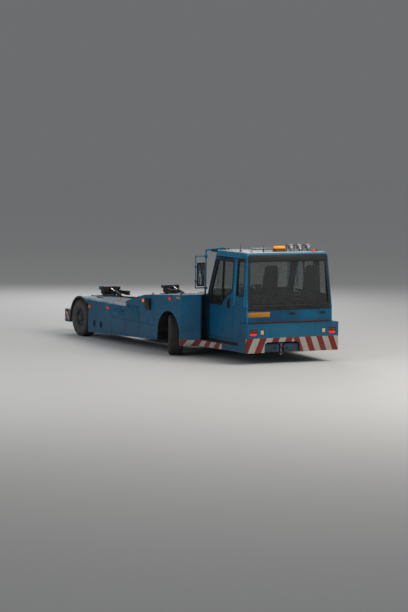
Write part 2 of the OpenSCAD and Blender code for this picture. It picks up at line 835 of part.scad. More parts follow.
// Seats: their sides, half widths of pad, head rest and pedestal, and the height and
// place of the pad's underside
seat_places = [-480, 840];
seat_half = 255;
head_half = 150;
pedestal_half = 180;
pedestal_h = 450;
pad_z = platform_z + pedestal_h;
pad_run = 280;
pad_t = cab_end_t + pad_run;
// Sizes of a seat's pad, back and head rest
pad_len = 650;
pad_th = 120;
back_h = 750;
back_th = 120;
head_h = 260;

// Points given from the corner of the pad's underside
function seat_pts(pts) = side_view([for (p = pts) [pad_t + p[0], pad_z + p[1]]]);

module seats() {
    color(black) for (y = seat_places) {
        block(pad_t + back_th, pad_t + pad_len - back_th, y - pedestal_half, y + pedestal_half,
            platform_z, pad_z);
        along_y(y - seat_half, y + seat_half) polygon(seat_pts([[0, 0], [pad_len, 0],
            [pad_len + pad_th / 6, pad_th / 2], [pad_len, pad_th], [back_th + pad_th / 3, pad_th + 10],
            [back_th * 2 / 3, back_h - 10], [-back_th / 3, back_h], [-back_th / 2, back_h - 50]]));
        along_y(y - head_half, y + head_half) polygon(seat_pts([[-back_th / 3, back_h - 10],
            [back_th / 2, back_h - 10], [back_th / 2 - 10, back_h + head_h],
            [-back_th / 4, back_h + head_h]]));
    }
}

// Dashboard: place and height of its edge towards the seats, and its half width
dash_t = cab_deck_t - 520;
dash_edge_z = knee_z - 110;
dash_y = cab_y - wall - 130;
// Foot and top of the steering column, as distance and height
column_foot = [dash_t + 90, dash_edge_z - 40];
column_top = [dash_t - 70, dash_edge_z + 220];
column_r = 32;

module dashboard() {
    foot_t = dash_t + 160;
    far_t = dash_t + 400;
    color(black) {
        along_y(-dash_y, dash_y) polygon(side_view([[foot_t, floor_z], [foot_t, dash_edge_z - 240],
            [dash_t, dash_edge_z], [far_t - 200, knee_z], [far_t, knee_z], [far_t, floor_z]]));
        bar([at(column_foot[0]), seat_places[0], column_foot[1]],
            [at(column_top[0]), seat_places[0], column_top[1]], column_r);
        block(far_t - 220, far_t - 190, -120, 160, knee_z, knee_z + 200);
    }
}

module steering_wheel() {
    tilt = atan2(column_foot[0] - column_top[0], column_top[1] - column_foot[1]);
    wheel_r = 200;
    color(black) translate([at(column_top[0]), seat_places[0], column_top[1]]) rotate([0, tilt, 0]) {
        translate([0, 0, 8]) rotate_extrude() translate([wheel_r, 0]) circle(r = 15, $fn = 24);
        cylinder(r = column_r + 13, h = 20);
        for (a = [90, 210, 330]) rotate([0, 0, a]) translate([column_r, -15, 2])
            cube([wheel_r - column_r, 30, 12]);
    }
}

// Mirrors: place of their posts, sides of the posts and the outer tubes, foot on the
// roof, heights of the cross tubes, and the head's underside and height
mirror_t = cab_deck_t + 140;
mirror_post_y = cab_y - 15;
mirror_out_y = mirror_post_y + 330;
mirror_foot = [cab_deck_t - 520, cab_y - 255];
mirror_cross_zs = [roof_z - 50, knee_z + 100];
mirror_head_z = knee_z + 150;
mirror_head_h = 670;

// Round bar from p to q with a ball at q
module bent_bar(p, q, r, ball) {
    bar(p, q, r);
    translate(q) sphere(r = ball, $fn = 32);
}

module mirrors() {
    tube = 16;
    ball = 21;
    foot_z = crown_z + tube + 14;
    post_z = crown_z - 40;
    head_y = -(mirror_post_y + mirror_out_y) / 2;
    color(black) both() {
        bent_bar([at(mirror_foot[0]), -mirror_foot[1], foot_z], [at(mirror_t), -mirror_post_y, post_z],
            tube, ball);
        translate([at(mirror_foot[0]), -mirror_foot[1], crown_z]) cylinder(r = 24, h = 2 * tube + 14);
        bent_bar([at(mirror_t), -mirror_post_y, post_z],
            [at(mirror_t), -mirror_post_y, mirror_cross_zs[1]], tube, ball);
        for (z = mirror_cross_zs)
            bent_bar([at(mirror_t), -mirror_post_y, z], [at(mirror_t), -mirror_out_y, z], tube - 3, ball - 4);
        bar([at(mirror_t), -mirror_out_y, mirror_cross_zs[0]],
            [at(mirror_t), -mirror_out_y, mirror_cross_zs[1]], tube - 3);
        translate([at(mirror_t), head_y, mirror_head_z]) linear_extrude(mirror_head_h)
            polygon([for (p = corner(-20, 65, 45, 90, 180)) p,
                for (p = corner(-20, -65, 45, 180, 270)) p, [40, -110], [40, 110]]);
        for (z = [mirror_head_z + 100, mirror_head_z + mirror_head_h - 110])
            bar([at(mirror_t), head_y, z], [at(mirror_t), -mirror_out_y, z], tube - 5);
    }
}

// Line across the roof on which the beacon and the lamps stand
beacon_t = cab_end_t + 600;
// Beacon: its side, radius of its round ends and the half length between them, and
// its steps as lower height, upper height and inset
beacon_y = -15;
beacon_r = 75;
beacon_half = 115;
beacon_steps = [[0, 40, 0], [40, 120, 5], [120, 150, 22]];

module beacon() {
    color(amber) for (b = beacon_steps) let (r = beacon_r - b[2])
        translate([at(beacon_t), beacon_y, crown_z + b[0]]) linear_extrude(b[1] - b[0])
            polygon([for (p = corner(0, beacon_half, r, 0, 180, 12)) p,
                for (p = corner(0, -beacon_half, r, 180, 360, 12)) p]);
}

// Work lamps on the roof: sides, half width, and their foot, length and height
work_lamp_ys = [360, 640, 920];
work_lamp_half = 85;
work_lamp_foot = 60;
work_lamp_size = [90, 140];
// Antennas: distance, side and height
antennas = [[beacon_t + 210, -1130, 220], [beacon_t - 100, -580, 180]];

module roof_gear() {
    color(dark) {
        for (y = work_lamp_ys) translate([at(beacon_t), y, crown_z]) {
            cylinder(r = 14, h = work_lamp_foot + 5);
            translate([-work_lamp_size[0] / 2, -work_lamp_half, work_lamp_foot])
                cube([work_lamp_size[0], 2 * work_lamp_half, work_lamp_size[1]]);
        }
        for (a = antennas) translate([at(a[0]), a[1], crown_z]) {
            cylinder(r = 28, h = 30);
            cylinder(r = 8, h = a[2]);
        }
    }
}

// BUMPER, SKIRTS AND LAMPS

cab_clear = 10;
lamp_depth = 30;
lamp_lip = 5;
tail_lamp_y = bumper_y - 220;
clear_lamp_y = tail_lamp_y - 280;
lamp_z = bumper_top_z - 225;

// Pocket or lens of the four lamps in the bumper's face: side, height, width, height
bumper_lamps = [[tail_lamp_y, lamp_z, 250, 200], [clear_lamp_y, lamp_z, 150, 160]];
// Cut of the bumper's upright corners, and radius of the cut-out's upper corners
bumper_corner = 30;
notch_r = 110;

module lamp_pair(l, t0) {
    both() block(t0, lamp_depth, -l[0] - l[2] / 2, -l[0] + l[2] / 2, l[1] - l[3] / 2, l[1] + l[3] / 2);
}

module bumper() {
    color(blue) difference() {
        translate([0, 0, bumper_low_z]) linear_extrude(bumper_top_z - bumper_low_z)
            polygon(outline([[0, bumper_y - bumper_corner], [bumper_corner, bumper_y],
                [return_len, bumper_y], [return_len, cab_y + cab_clear],
                [bumper_th, cab_y + cab_clear]]));
        along_x(at(bumper_th + over), at(-over)) polygon([[notch_y0, bumper_low_z - over],
            for (p = corner(notch_y0 + notch_r, notch_top_z - notch_r, notch_r, 180, 90)) p,
            for (p = corner(notch_y1 - notch_r, notch_top_z - notch_r, notch_r, 90, 0)) p,
            [notch_y1, bumper_low_z - over]]);
        for (l = bumper_lamps) lamp_pair(l, -over);
    }
}

// Tow jaw: side, place and radius of the hole's ring, and its plates
jaw_y = (notch_y0 + notch_y1) / 2;
jaw_t = 70;
jaw_r = 65;
jaw_low_z = bumper_low_z - 35;
jaw_h = 210;
jaw_plate = 40;

module tow_jaw() {
    color(black) difference() {
        union() {
            block(bumper_th - 30, bumper_th, jaw_y - 150, jaw_y + 150, neck_low_z + 10, cab_low_z - 10);
            for (z = [jaw_low_z, jaw_low_z + jaw_h - jaw_plate]) translate([0, 0, z])
                linear_extrude(jaw_plate) {
                    translate([at(jaw_t), jaw_y]) circle(r = jaw_r);
                    translate([at(bumper_th - 10), jaw_y - jaw_r])
                        square([bumper_th - 10 - jaw_t, 2 * jaw_r]);
                }
            block(bumper_th - 40, bumper_th - 10, jaw_y - jaw_r, jaw_y + jaw_r, jaw_low_z,
                jaw_low_z + jaw_h);
        }
        translate([at(jaw_t), jaw_y, jaw_low_z - over]) cylinder(r = tow_hole_r, h = jaw_h + 2 * over);
    }
}

module skirts() {
    color(red) both() translate([0, 0, bumper_low_z]) linear_extrude(skirt_top_z - bumper_low_z)
        polygon(side_view([[return_len, -bumper_y], [flare_t, -flare_y],
            [flare_t + flare_len, -half_w], [body_front_t + 70, -half_w],
            [body_front_t + 70, -half_w + skirt_th], [flare_t + flare_len + 25, -half_w + skirt_th],
            [flare_t + 25, -flare_y + skirt_th], [return_len, -bumper_y + skirt_th]]));
}

// Markers on the body sides: distance, height
red_markers = [[rear_axle_t - 760, arm_top_z - 250], [rear_axle_t - 2020, arm_top_z - 190],
    [front_axle_t - 90, deck_bend_z]];
amber_markers = [[deck_bend_t + 110, deck_bend_z - 180]];
marker = [150, 90, 14];
// Red lamp on the roof's edge over the end window: its side, and its length, width, height
roof_lamp_y = 940;
roof_lamp = [60, 110, 40];

module side_marker(m) {
    both() block(m[0] - marker[0] / 2, m[0] + marker[0] / 2, -half_w - marker[2], -half_w,
        m[1] - marker[1] / 2, m[1] + marker[1] / 2);
}

module red_lamps() {
    color(red) {
        lamp_pair(bumper_lamps[0], lamp_lip);
        for (m = red_markers) side_marker(m);
        translate([at(cab_end_t + end_rake + roof_r + roof_lamp[0]), roof_lamp_y - roof_lamp[1] / 2,
            crown_z]) cube(roof_lamp);
    }
}

module clear_lamps() {
    color(pale) lamp_pair(bumper_lamps[1], lamp_lip);
}

module amber_lamps() {
    color(amber) for (m = amber_markers) side_marker(m);
}

// Lamp pods on the body sides: place, length, foot, height and depth
pod_t = deck_bend_t - 350;
pod_len = 300;
pod_z = deck_bend_z - 440;
pod_h = 350;
pod_out = 70;

module head_lamps() {
    color(black) both() translate([0, -half_w, pod_z]) along_x(at(pod_t + pod_len), at(pod_t))
        polygon([[0, 0], [-pod_out + 30, 40], [-pod_out, 110], [-pod_out, pod_h - 30],
            [-pod_out + 20, pod_h], [0, pod_h]]);
}

// CLAMPS AND CRADLE

clamp_z = arm_top_z + clamp_rise;
clamp_pin_r = 25;
clamp_ear = 25;
tower_half = 150;
tower_top_z = clamp_z + 180;
// Half width over a tower's cheeks, and their thickness
cheek_half = 215;
cheek_th = 18;
swing_t = clamp_t - 30;
swing_y = clamp_y - 270;
swing_pin_r = 22;
swing_low_z = arm_top_z + 55;
swing_top_z = clamp_z + 95;
// Rod eye on the tower and barrel pin on the arm, as distance and height
rod_pin = [clamp_t - 150, clamp_z + 110];
barrel_pin = [clamp_t - 700, clamp_z - 15];
link_len = norm(rod_pin - barrel_pin);
link_tilt = atan2(rod_pin[1] - barrel_pin[1], rod_pin[0] - barrel_pin[0]);
rod_eye_r = 25;
rod_pin_r = 18;

// Places a shape drawn along +x from the barrel pin, at the left clamp
module along_link(side) {
    on_side(side) translate([at(barrel_pin[0]), -clamp_y, barrel_pin[1]])
        rotate([0, link_tilt - 180, 0]) children();
}

module clamp_brackets() {
    color(dark) both() {
        for (s = [-1, 1]) let (y = -clamp_y + s * (tower_half + 10 + clamp_ear / 2)) {
            bar_y(clamp_t, clamp_z, 2 * clamp_pin_r, y - clamp_ear / 2, y + clamp_ear / 2);
            block(clamp_t - 2 * clamp_pin_r, clamp_t + 2 * clamp_pin_r, y - clamp_ear / 2,
                y + clamp_ear / 2, arm_top_z, clamp_z);
        }
        bar_y(clamp_t, clamp_z, clamp_pin_r, -clamp_y - tower_half - 20, -clamp_y + tower_half + 20);
        for (s = [-1, 1]) let (y = -clamp_y + s * 40) {
            bar_y(barrel_pin[0], barrel_pin[1], 40, y - 10, y + 10);
            block(barrel_pin[0] - 40, barrel_pin[0] + 40, y - 10, y + 10, arm_top_z, barrel_pin[1]);
        }
        bar_y(barrel_pin[0], barrel_pin[1], 20, -clamp_y - 45, -clamp_y + 45);
    }
}

module clamp_tower(side) {
    color(black) on_side(side) difference() {
        union() {
            bar_y(clamp_t, clamp_z, 75, -clamp_y - tower_half, -clamp_y + tower_half);
            block(clamp_t - 100, clamp_t + 160, -clamp_y - tower_half, -clamp_y + tower_half,
                clamp_z + 20, clamp_z + 90);
            block(clamp_t - 100, clamp_t + 160, -clamp_y - cheek_half, -clamp_y + cheek_half,
                clamp_z + 65, tower_top_z);
            for (y = [-clamp_y - cheek_half, -clamp_y + cheek_half - cheek_th])
                along_y(y, y + cheek_th) polygon(side_view([[clamp_t - 100, clamp_z - 60],
                    [clamp_t + 20, clamp_z - 80], [clamp_t + 160, clamp_z - 25],
                    [clamp_t + 160, tower_top_z], [clamp_t - 100, tower_top_z]]));
            block(clamp_t - 100, clamp_t + 60, -clamp_y, -swing_y + 60,
                swing_top_z + 5, tower_top_z);
            for (s = [-1, 1]) let (y = -clamp_y + s * 40) {
                bar_y(rod_pin[0], rod_pin[1], 35, y - 10, y + 10);
                block(rod_pin[0], clamp_t - 90, y - 10, y + 10, rod_pin[1] - 35, rod_pin[1] + 35);
            }
            bar_y(rod_pin[0], rod_pin[1], rod_pin_r, -clamp_y - 40, -clamp_y + 40);
            translate([at(swing_t), -swing_y, swing_low_z - 15]) cylinder(r = swing_pin_r,
                h = swing_top_z - swing_low_z + 30);
            translate([at(swing_t), -swing_y, swing_low_z - 20]) cylinder(r = 35, h = 15);
        }
        bar_y(clamp_t, clamp_z, clamp_pin_r + run_gap, -clamp_y - tower_half - over,
            -clamp_y + tower_half + over);
    }
}

module clamp_arm(side) {
    h = swing_top_z - swing_low_z;
    color(dark) on_side(side) translate([at(swing_t), -swing_y, swing_low_z]) difference() {
        union() {
            cylinder(r = 50, h = h);
            translate([0, -30, 10]) cube([clamp_arm_len - 60, 60, h - 20]);
            translate([clamp_arm_len - 200, -42, 0]) cube([200, 84, h]);
        }
        translate([0, 0, -over]) cylinder(r = swing_pin_r + run_gap, h = h + 2 * over);
    }
}

barrel_len = 300;
barrel_r = 50;
rod_r = 24;

module barrel(side) {
    color(black) along_link(side) difference() {
        union() {
            rotate([90, 0, 0]) cylinder(r = 38, h = 50, center = true);
            rotate([0, 90, 0]) cylinder(r = 30, h = 60);
            translate([50, 0, 0]) rotate([0, 90, 0]) cylinder(r = barrel_r, h = barrel_len - 50);
        }
        rotate([90, 0, 0]) cylinder(r = 20 + run_gap, h = 60, center = true);
        translate([80, 0, 0]) rotate([0, 90, 0]) cylinder(r = rod_r + run_gap, h = barrel_len);
    }
}

module rod(side) {
    color(steel) along_link(side) difference() {
        union() {
            translate([150, 0, 0]) rotate([0, 90, 0]) cylinder(r = rod_r, h = link_len - 150);
            translate([link_len, 0, 0]) rotate([90, 0, 0]) cylinder(r = 40, h = 50, center = true);
        }
        translate([link_len, 0, 0]) rotate([90, 0, 0]) cylinder(r = rod_eye_r, h = 60, center = true);
    }
}

tray_t = cradle_t + 120;
tray_th = 40;

module cradle() {
    color(dark) difference() {
        union() {
            both() along_y(-cradle_y, -cradle_y + cradle_cheek) polygon(side_view([
                [cradle_t - 70, cradle_z - 40], [cradle_t - 40, cradle_z + 70],
                [cradle_t + 60, cradle_z + 80], [tray_t + 260, cradle_z + 60],
                [tray_t + 420, tray_z + 220], [tray_t + tray_len, tray_z + 70],
                [tray_t + tray_len, tray_z], [tray_t + 80, tray_z]]));
            along_y(-cradle_y, cradle_y) polygon(side_view([[tray_t + 80, tray_z],
                [tray_t + tray_len, tray_z], [tray_t + tray_len, tray_z + 15],
                [tray_t + tray_len - 120, tray_z + tray_th], [tray_t + 330, tray_z + tray_th],
                [tray_t + 190, tray_z + 160], [tray_t + 170, cradle_z + 60],
                [tray_t + 130, cradle_z + 60]]));
        }
        both() bar_y(cradle_t, cradle_z, pivot_pin_r + run_gap, -cradle_y - over,
            -cradle_y + cradle_cheek + over);
    }
}

main_frame();
engine();
front_axle();
deck_body();
engine_hood();
arm(-1);  // arm_left
arm(1);  // arm_right
fenders();
arm_bumpers();
stub_axles();
bumper();
tow_jaw();
skirts();
cab_floor();
cab_end_wall();
cab_side(-1);  // cab_side_left
cab_side(1);  // cab_side_right
cab_deck_wall();
cab_roof();
cab_glass();
door(-1);  // door_left
door(1);  // door_right
door_glass(-1);  // door_glass_left
door_glass(1);  // door_glass_right
seats();
dashboard();
steering_wheel();
mirrors();
beacon();
roof_gear();
head_lamps();
red_lamps();
clear_lamps();
amber_lamps();
tyre(true, -1);  // tyre_front_left
tyre(true, 1);  // tyre_front_right
tyre(false, -1);  // tyre_rear_left
tyre(false, 1);  // tyre_rear_right
rim(true, -1);  // rim_front_left
rim(true, 1);  // rim_front_right
rim(false, -1);  // rim_rear_left
rim(false, 1);  // rim_rear_right
knuckle(-1);  // knuckle_left
knuckle(1);  // knuckle_right
clamp_brackets();
clamp_tower(-1);  // clamp_tower_left
clamp_tower(1);  // clamp_tower_right
clamp_arm(-1);  // clamp_arm_left
clamp_arm(1);  // clamp_arm_right
barrel(-1);  // barrel_left
barrel(1);  // barrel_right
rod(-1);  // rod_left
rod(1);  // rod_right
cradle();
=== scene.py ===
import json
import math

import bpy
from mathutils import Matrix, Vector

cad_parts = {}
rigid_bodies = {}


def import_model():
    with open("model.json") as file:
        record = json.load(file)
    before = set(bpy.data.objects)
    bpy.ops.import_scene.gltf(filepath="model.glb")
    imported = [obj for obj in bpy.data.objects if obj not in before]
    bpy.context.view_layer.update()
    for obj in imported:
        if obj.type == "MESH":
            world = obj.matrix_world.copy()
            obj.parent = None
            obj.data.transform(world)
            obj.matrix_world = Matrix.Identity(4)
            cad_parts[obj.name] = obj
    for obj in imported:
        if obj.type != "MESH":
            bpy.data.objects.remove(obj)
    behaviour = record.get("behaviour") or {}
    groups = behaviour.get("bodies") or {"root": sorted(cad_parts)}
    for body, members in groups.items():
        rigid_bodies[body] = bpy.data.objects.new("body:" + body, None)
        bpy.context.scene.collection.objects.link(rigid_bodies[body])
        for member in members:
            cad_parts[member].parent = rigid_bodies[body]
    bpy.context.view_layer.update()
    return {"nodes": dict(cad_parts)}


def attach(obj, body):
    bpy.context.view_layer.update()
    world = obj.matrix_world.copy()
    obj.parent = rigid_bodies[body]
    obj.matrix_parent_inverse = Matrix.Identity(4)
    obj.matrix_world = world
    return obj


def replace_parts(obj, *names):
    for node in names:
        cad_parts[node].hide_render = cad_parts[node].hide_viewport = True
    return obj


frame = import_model()
nodes = frame["nodes"]

# Sizes in metres. A name that ends in _T is a distance back from the cab bumper's face.

CAB_FACE_X = 5.085
FRONT_AXLE_T, REAR_AXLE_T = 3.220, 9.100
HUB_Z = 0.575
HALF_WIDTH = 2.190
CAB_HALF_WIDTH = 1.375
ARM_TOP_Z = 1.230
BELT_Z, CROWN_Z = 1.540, 3.060
CAB_RISE = CROWN_Z - BELT_Z
END_WALL_T, END_LEAN, END_TILT = 0.200, 0.170, 0.112
SIDE_LEAN, SIDE_TILT = 0.080, 0.052
DECK_WALL_T, DECK_WALL_Z, DECK_WALL_RISE = 2.420, 1.850, 1.210
DECK_WALL_LEAN, DECK_WALL_TILT = 0.400, 0.330
DECK_T, DECK_Z, DECK_RUN, DECK_FALL = 2.480, 1.770, 2.170, 0.150
CAB_MIDDLE = Vector((3.775, 0, 1.900))
SIDES = (-1, 1)
SIDE_NAMES = {-1: "left", 1: "right"}
UP, OUT_LEFT, ORIGIN = (0, 0, 1), (0, -1, 0), (0, 0, 0)
MERGE_DISTANCE = 0.00005
CORNER_STEPS = 6


def at(t):
    """Place along x of a point t behind the cab bumper's face."""
    return CAB_FACE_X - t


def deck_z(t):
    """Height of the deck's straight part."""
    return DECK_Z - (t - DECK_T) * DECK_FALL / DECK_RUN


# Modelling helpers

def deselect():
    """Object Mode with nothing selected."""
    if bpy.context.mode != "OBJECT":
        bpy.ops.object.mode_set(mode="OBJECT")
    bpy.ops.object.select_all(action="DESELECT")


def place_in_mesh():
    """The active object's place goes into its mesh."""
    bpy.ops.object.transform_apply(location=True, rotation=True, scale=True)


def pick(piece):
    """Only this piece is selected and active."""
    deselect()
    piece.select_set(True)
    bpy.context.view_layer.objects.active = piece
    return piece


def drop(piece):
    """Takes away a piece that was only needed to make others."""
    pick(piece)
    bpy.ops.object.delete()


def edit_all(piece):
    """Edit Mode with all of a piece selected."""
    pick(piece)
    bpy.ops.object.mode_set(mode="EDIT")
    bpy.ops.mesh.select_all(action="SELECT")


def pick_faces(piece, wanted):
    """Edit Mode with just the faces selected for which wanted(face) is true."""
    edit_all(piece)
    bpy.ops.mesh.select_mode(type="FACE")
    bpy.ops.mesh.select_all(action="DESELECT")
    bpy.ops.object.mode_set(mode="OBJECT")
    for face in piece.data.polygons:
        face.select = wanted(face)
    bpy.ops.object.mode_set(mode="EDIT")


def face_outwards():
    """Turns the selected faces outwards and goes back to Object Mode."""
    bpy.ops.mesh.normals_make_consistent(inside=False)
    bpy.ops.object.mode_set(mode="OBJECT")


def modify(piece, kind, **settings):
    """Adds a modifier to a piece and applies it."""
    pick(piece)
    added = piece.modifiers.new(kind.lower(), kind)
    for key, value in settings.items():
        setattr(added, key, value)
    bpy.ops.object.modifier_apply(modifier=added.name)
    return piece


def round_edges(piece, width, segments=2, angle=30):
    return modify(piece, "BEVEL", width=width, segments=segments, limit_method="ANGLE",
                  angle_limit=math.radians(angle))


def box(low, high, edge=0.004, segments=2):
    """A box between two corners, with round edges."""
    low, high = Vector(low), Vector(high)
    deselect()
    bpy.ops.mesh.primitive_cube_add(size=1, location=(low + high) / 2, scale=high - low)
    place_in_mesh()
    return round_edges(bpy.context.object, edge, segments)


def block(t0, t1, y, half, z0, z1, edge=0.004):
    """A box between two distances t and two heights, reaching half to each side of y."""
    return box((at(t0), y - half, z0), (at(t1), y + half, z1), edge)


def bar(start, end, radius, sides=20, edge=0.002):
    """A round bar between two points, with broken end edges."""
    start, end = Vector(start), Vector(end)
    run = end - start
    deselect()
    bpy.ops.mesh.primitive_cylinder_add(
        vertices=sides, radius=radius, depth=run.length, location=(start + end) / 2,
        rotation=run.to_track_quat("Z", "Y").to_euler())
    place_in_mesh()
    return round_edges(bpy.context.object, edge, 2, 40)


def post(t, y, low, high, radius, sides=20, edge=0.002):
    """An upright round bar."""
    return bar((at(t), y, low), (at(t), y, high), radius, sides, edge)


def ring_of_points(points, fill):
    """A new closed outline through points."""
    deselect()
    bpy.ops.mesh.primitive_circle_add(vertices=len(points), radius=1, fill_type=fill)
    piece = bpy.context.object
    for vertex, point in zip(piece.data.vertices, points):
        vertex.co = point
    edit_all(piece)
    return piece


def plate(outline, depth, edge=0.003, segments=2):
    """A plate: an outline of points pushed along depth, with round edges."""
    piece = ring_of_points(outline, "NGON")
    bpy.ops.mesh.extrude_region_move(TRANSFORM_OT_translate={"value": depth})
    bpy.ops.mesh.select_all(action="SELECT")
    face_outwards()
    return round_edges(piece, edge, segments) if edge else piece


def tube(points, radius, corner=0.04, sides=4):
    """A bent tube through points, with round corners."""
    path = [Vector(points[0])]
    for before, here, after in zip(points, points[1:], points[2:]):
        here = Vector(here)
        back = (Vector(before) - here).normalized() * corner
        on = (Vector(after) - here).normalized() * corner
        path += [here + back * (1 - i / CORNER_STEPS) ** 2 + on * (i / CORNER_STEPS) ** 2
                 for i in range(CORNER_STEPS + 1)]
    path.append(Vector(points[-1]))
    deselect()
    bpy.ops.curve.primitive_nurbs_path_add()
    curve = bpy.context.object.data
    curve.splines.clear()
    spline = curve.splines.new("POLY")
    spline.points.add(len(path) - 1)
    for knot, place in zip(spline.points, path):
        knot.co = (*place, 1)
    curve.bevel_depth = radius
    curve.bevel_resolution = sides
    curve.use_fill_caps = True
    bpy.ops.object.convert(target="MESH")
    place_in_mesh()
    return bpy.context.object


def staple(middle, reach, rise, radius, corner):
    """A bent handle: up at one end of reach, over, and down at the other end."""
    middle, reach, rise = Vector(middle), Vector(reach), Vector((0, 0, rise))
    return tube([middle - reach, middle - reach + rise, middle + reach + rise, middle + reach],
                radius, corner)


def turned(profile, centre, axis, steps=48):
    """A round shape spun from a closed profile of (distance along the axis, radius)."""
    axis = Vector(axis).normalized()
    out = axis.orthogonal().normalized()
    piece = ring_of_points([Vector(centre) + axis * along + out * radius for along, radius in profile],
                           "NOTHING")
    bpy.ops.mesh.spin(steps=steps, angle=2 * math.pi, center=centre, axis=axis)
    bpy.ops.mesh.select_all(action="SELECT")
    bpy.ops.mesh.remove_doubles(threshold=MERGE_DISTANCE)
    bpy.ops.mesh.dissolve_degenerate()
    face_outwards()
    return piece


def bolt(place, facing, size=0.012):
    """A hexagon bolt head with its washer."""
    place, facing = Vector(place), Vector(facing).normalized()
    seat, top = place + facing * size * 0.3, place + facing * size * 1.1
    return join([bar(place, seat, size * 1.1, 20, size * 0.08), bar(seat, top, size * 0.85, 6, size * 0.1)])


def join(made):
    """Several pieces as one mesh; a single piece stays as it is."""
    if not isinstance(made, list):
        return made
    deselect()
    for piece in made:
        piece.select_set(True)
    bpy.context.view_layer.objects.active = made[0]
    if len(made) > 1:
        bpy.ops.object.join()
    return bpy.context.object


def copied(piece, turn):
    """A copy of a piece with its own mesh, moved by a matrix."""
    pick(piece)
    bpy.ops.object.duplicate(linked=False)
    copy = bpy.context.object
    copy.matrix_world = turn @ copy.matrix_world
    place_in_mesh()
    return copy


def mirrored(piece):
    """A copy of a left-hand piece on the right, facing outwards."""
    copy = copied(piece, Matrix.Scale(-1, 4, (0, 1, 0)))
    edit_all(copy)
    face_outwards()
    return copy


def ring_of(piece, count):
    """The piece repeated round the y axis, all joined."""
    return join([piece] + [copied(piece, Matrix.Rotation(2 * math.pi * i / count, 4, "Y"))
                           for i in range(1, count)])


def placed(made, name, finish, body="chassis", smooth=35):
    """Names finished pieces as one, gives them a finish and lets them ride on a body."""
    piece = pick(join(made))
    bpy.ops.object.shade_smooth_by_angle(angle=math.radians(smooth))
    piece.name = name
    piece.data.materials.clear()
    piece.data.materials.append(finish)
    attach(piece, body)
    return piece


def on_both(made, name, finish, body="chassis", smooth=35):
    """Left-hand pieces and their mirror image; {} in the body's name stands for the side."""
    piece = join(made)
    other = mirrored(piece)
    if "{}" not in body:
        return placed([piece, other], name, finish, body, smooth)
    for side, half in (("left", piece), ("right", other)):
        placed(half, f"{name}_{side}", finish, body.format(side), smooth)


# Finishes

RED = (0.24, 0.012, 0.012, 1)
WHITE = (0.45, 0.43, 0.38, 1)
# Painted shade: darker copies of the stripes' red and white for the bumper's face.
SHADED_RED = (0.155, 0.0085, 0.0080, 1)
SHADED_WHITE = (0.310, 0.293, 0.250, 1)
BLUE = (0.001, 0.078, 0.160, 1)
FADED_BLUE = (0.001, 0.100, 0.198, 1)
DEEP_BLUE = (0.001, 0.052, 0.110, 1)
# Painted shade: a darker copy of the body's blue for the end wall and the bumper, which the lamps light more
# than the sides.
SHADED_END_BLUE = (0.001, 0.096, 0.182, 1)
# Painted highlight: a bright blue for light caught on edges, corners and the roof's side walls.
HIGHLIGHT_BLUE = (0.001, 0.240, 0.430, 1)
# Painted shade: a dim blue for the recess of the bumper's cut-out.
NOTCH_SHADE_BLUE = (0.010, 0.020, 0.027, 1)
RIM_BLUES = ((0.020, 0.060, 0.085, 1), (0.055, 0.085, 0.098, 1))
DUST = (0.105, 0.098, 0.084, 1)
GRIME = (0.030, 0.027, 0.023, 1)
BARE_STEEL = (0.33, 0.32, 0.30, 1)
# Painted reflection: the pale of the sky on the roof's front strip.
ROOF_SKY_REFLECTION = (0.50, 0.53, 0.53, 1)
CLEAN_Z, DUSTY_Z = 1.15, 0.25
STRIPE_EDGE = 0.012
BUMPER_STRIPE, SKIRT_STRIPE, ARM_STRIPE = 0.374, 0.50, 0.22
BUMPER_BAND_Z, ARM_BAND_Z, SKIRT_BAND_T = 0.735, 0.458, 1.215


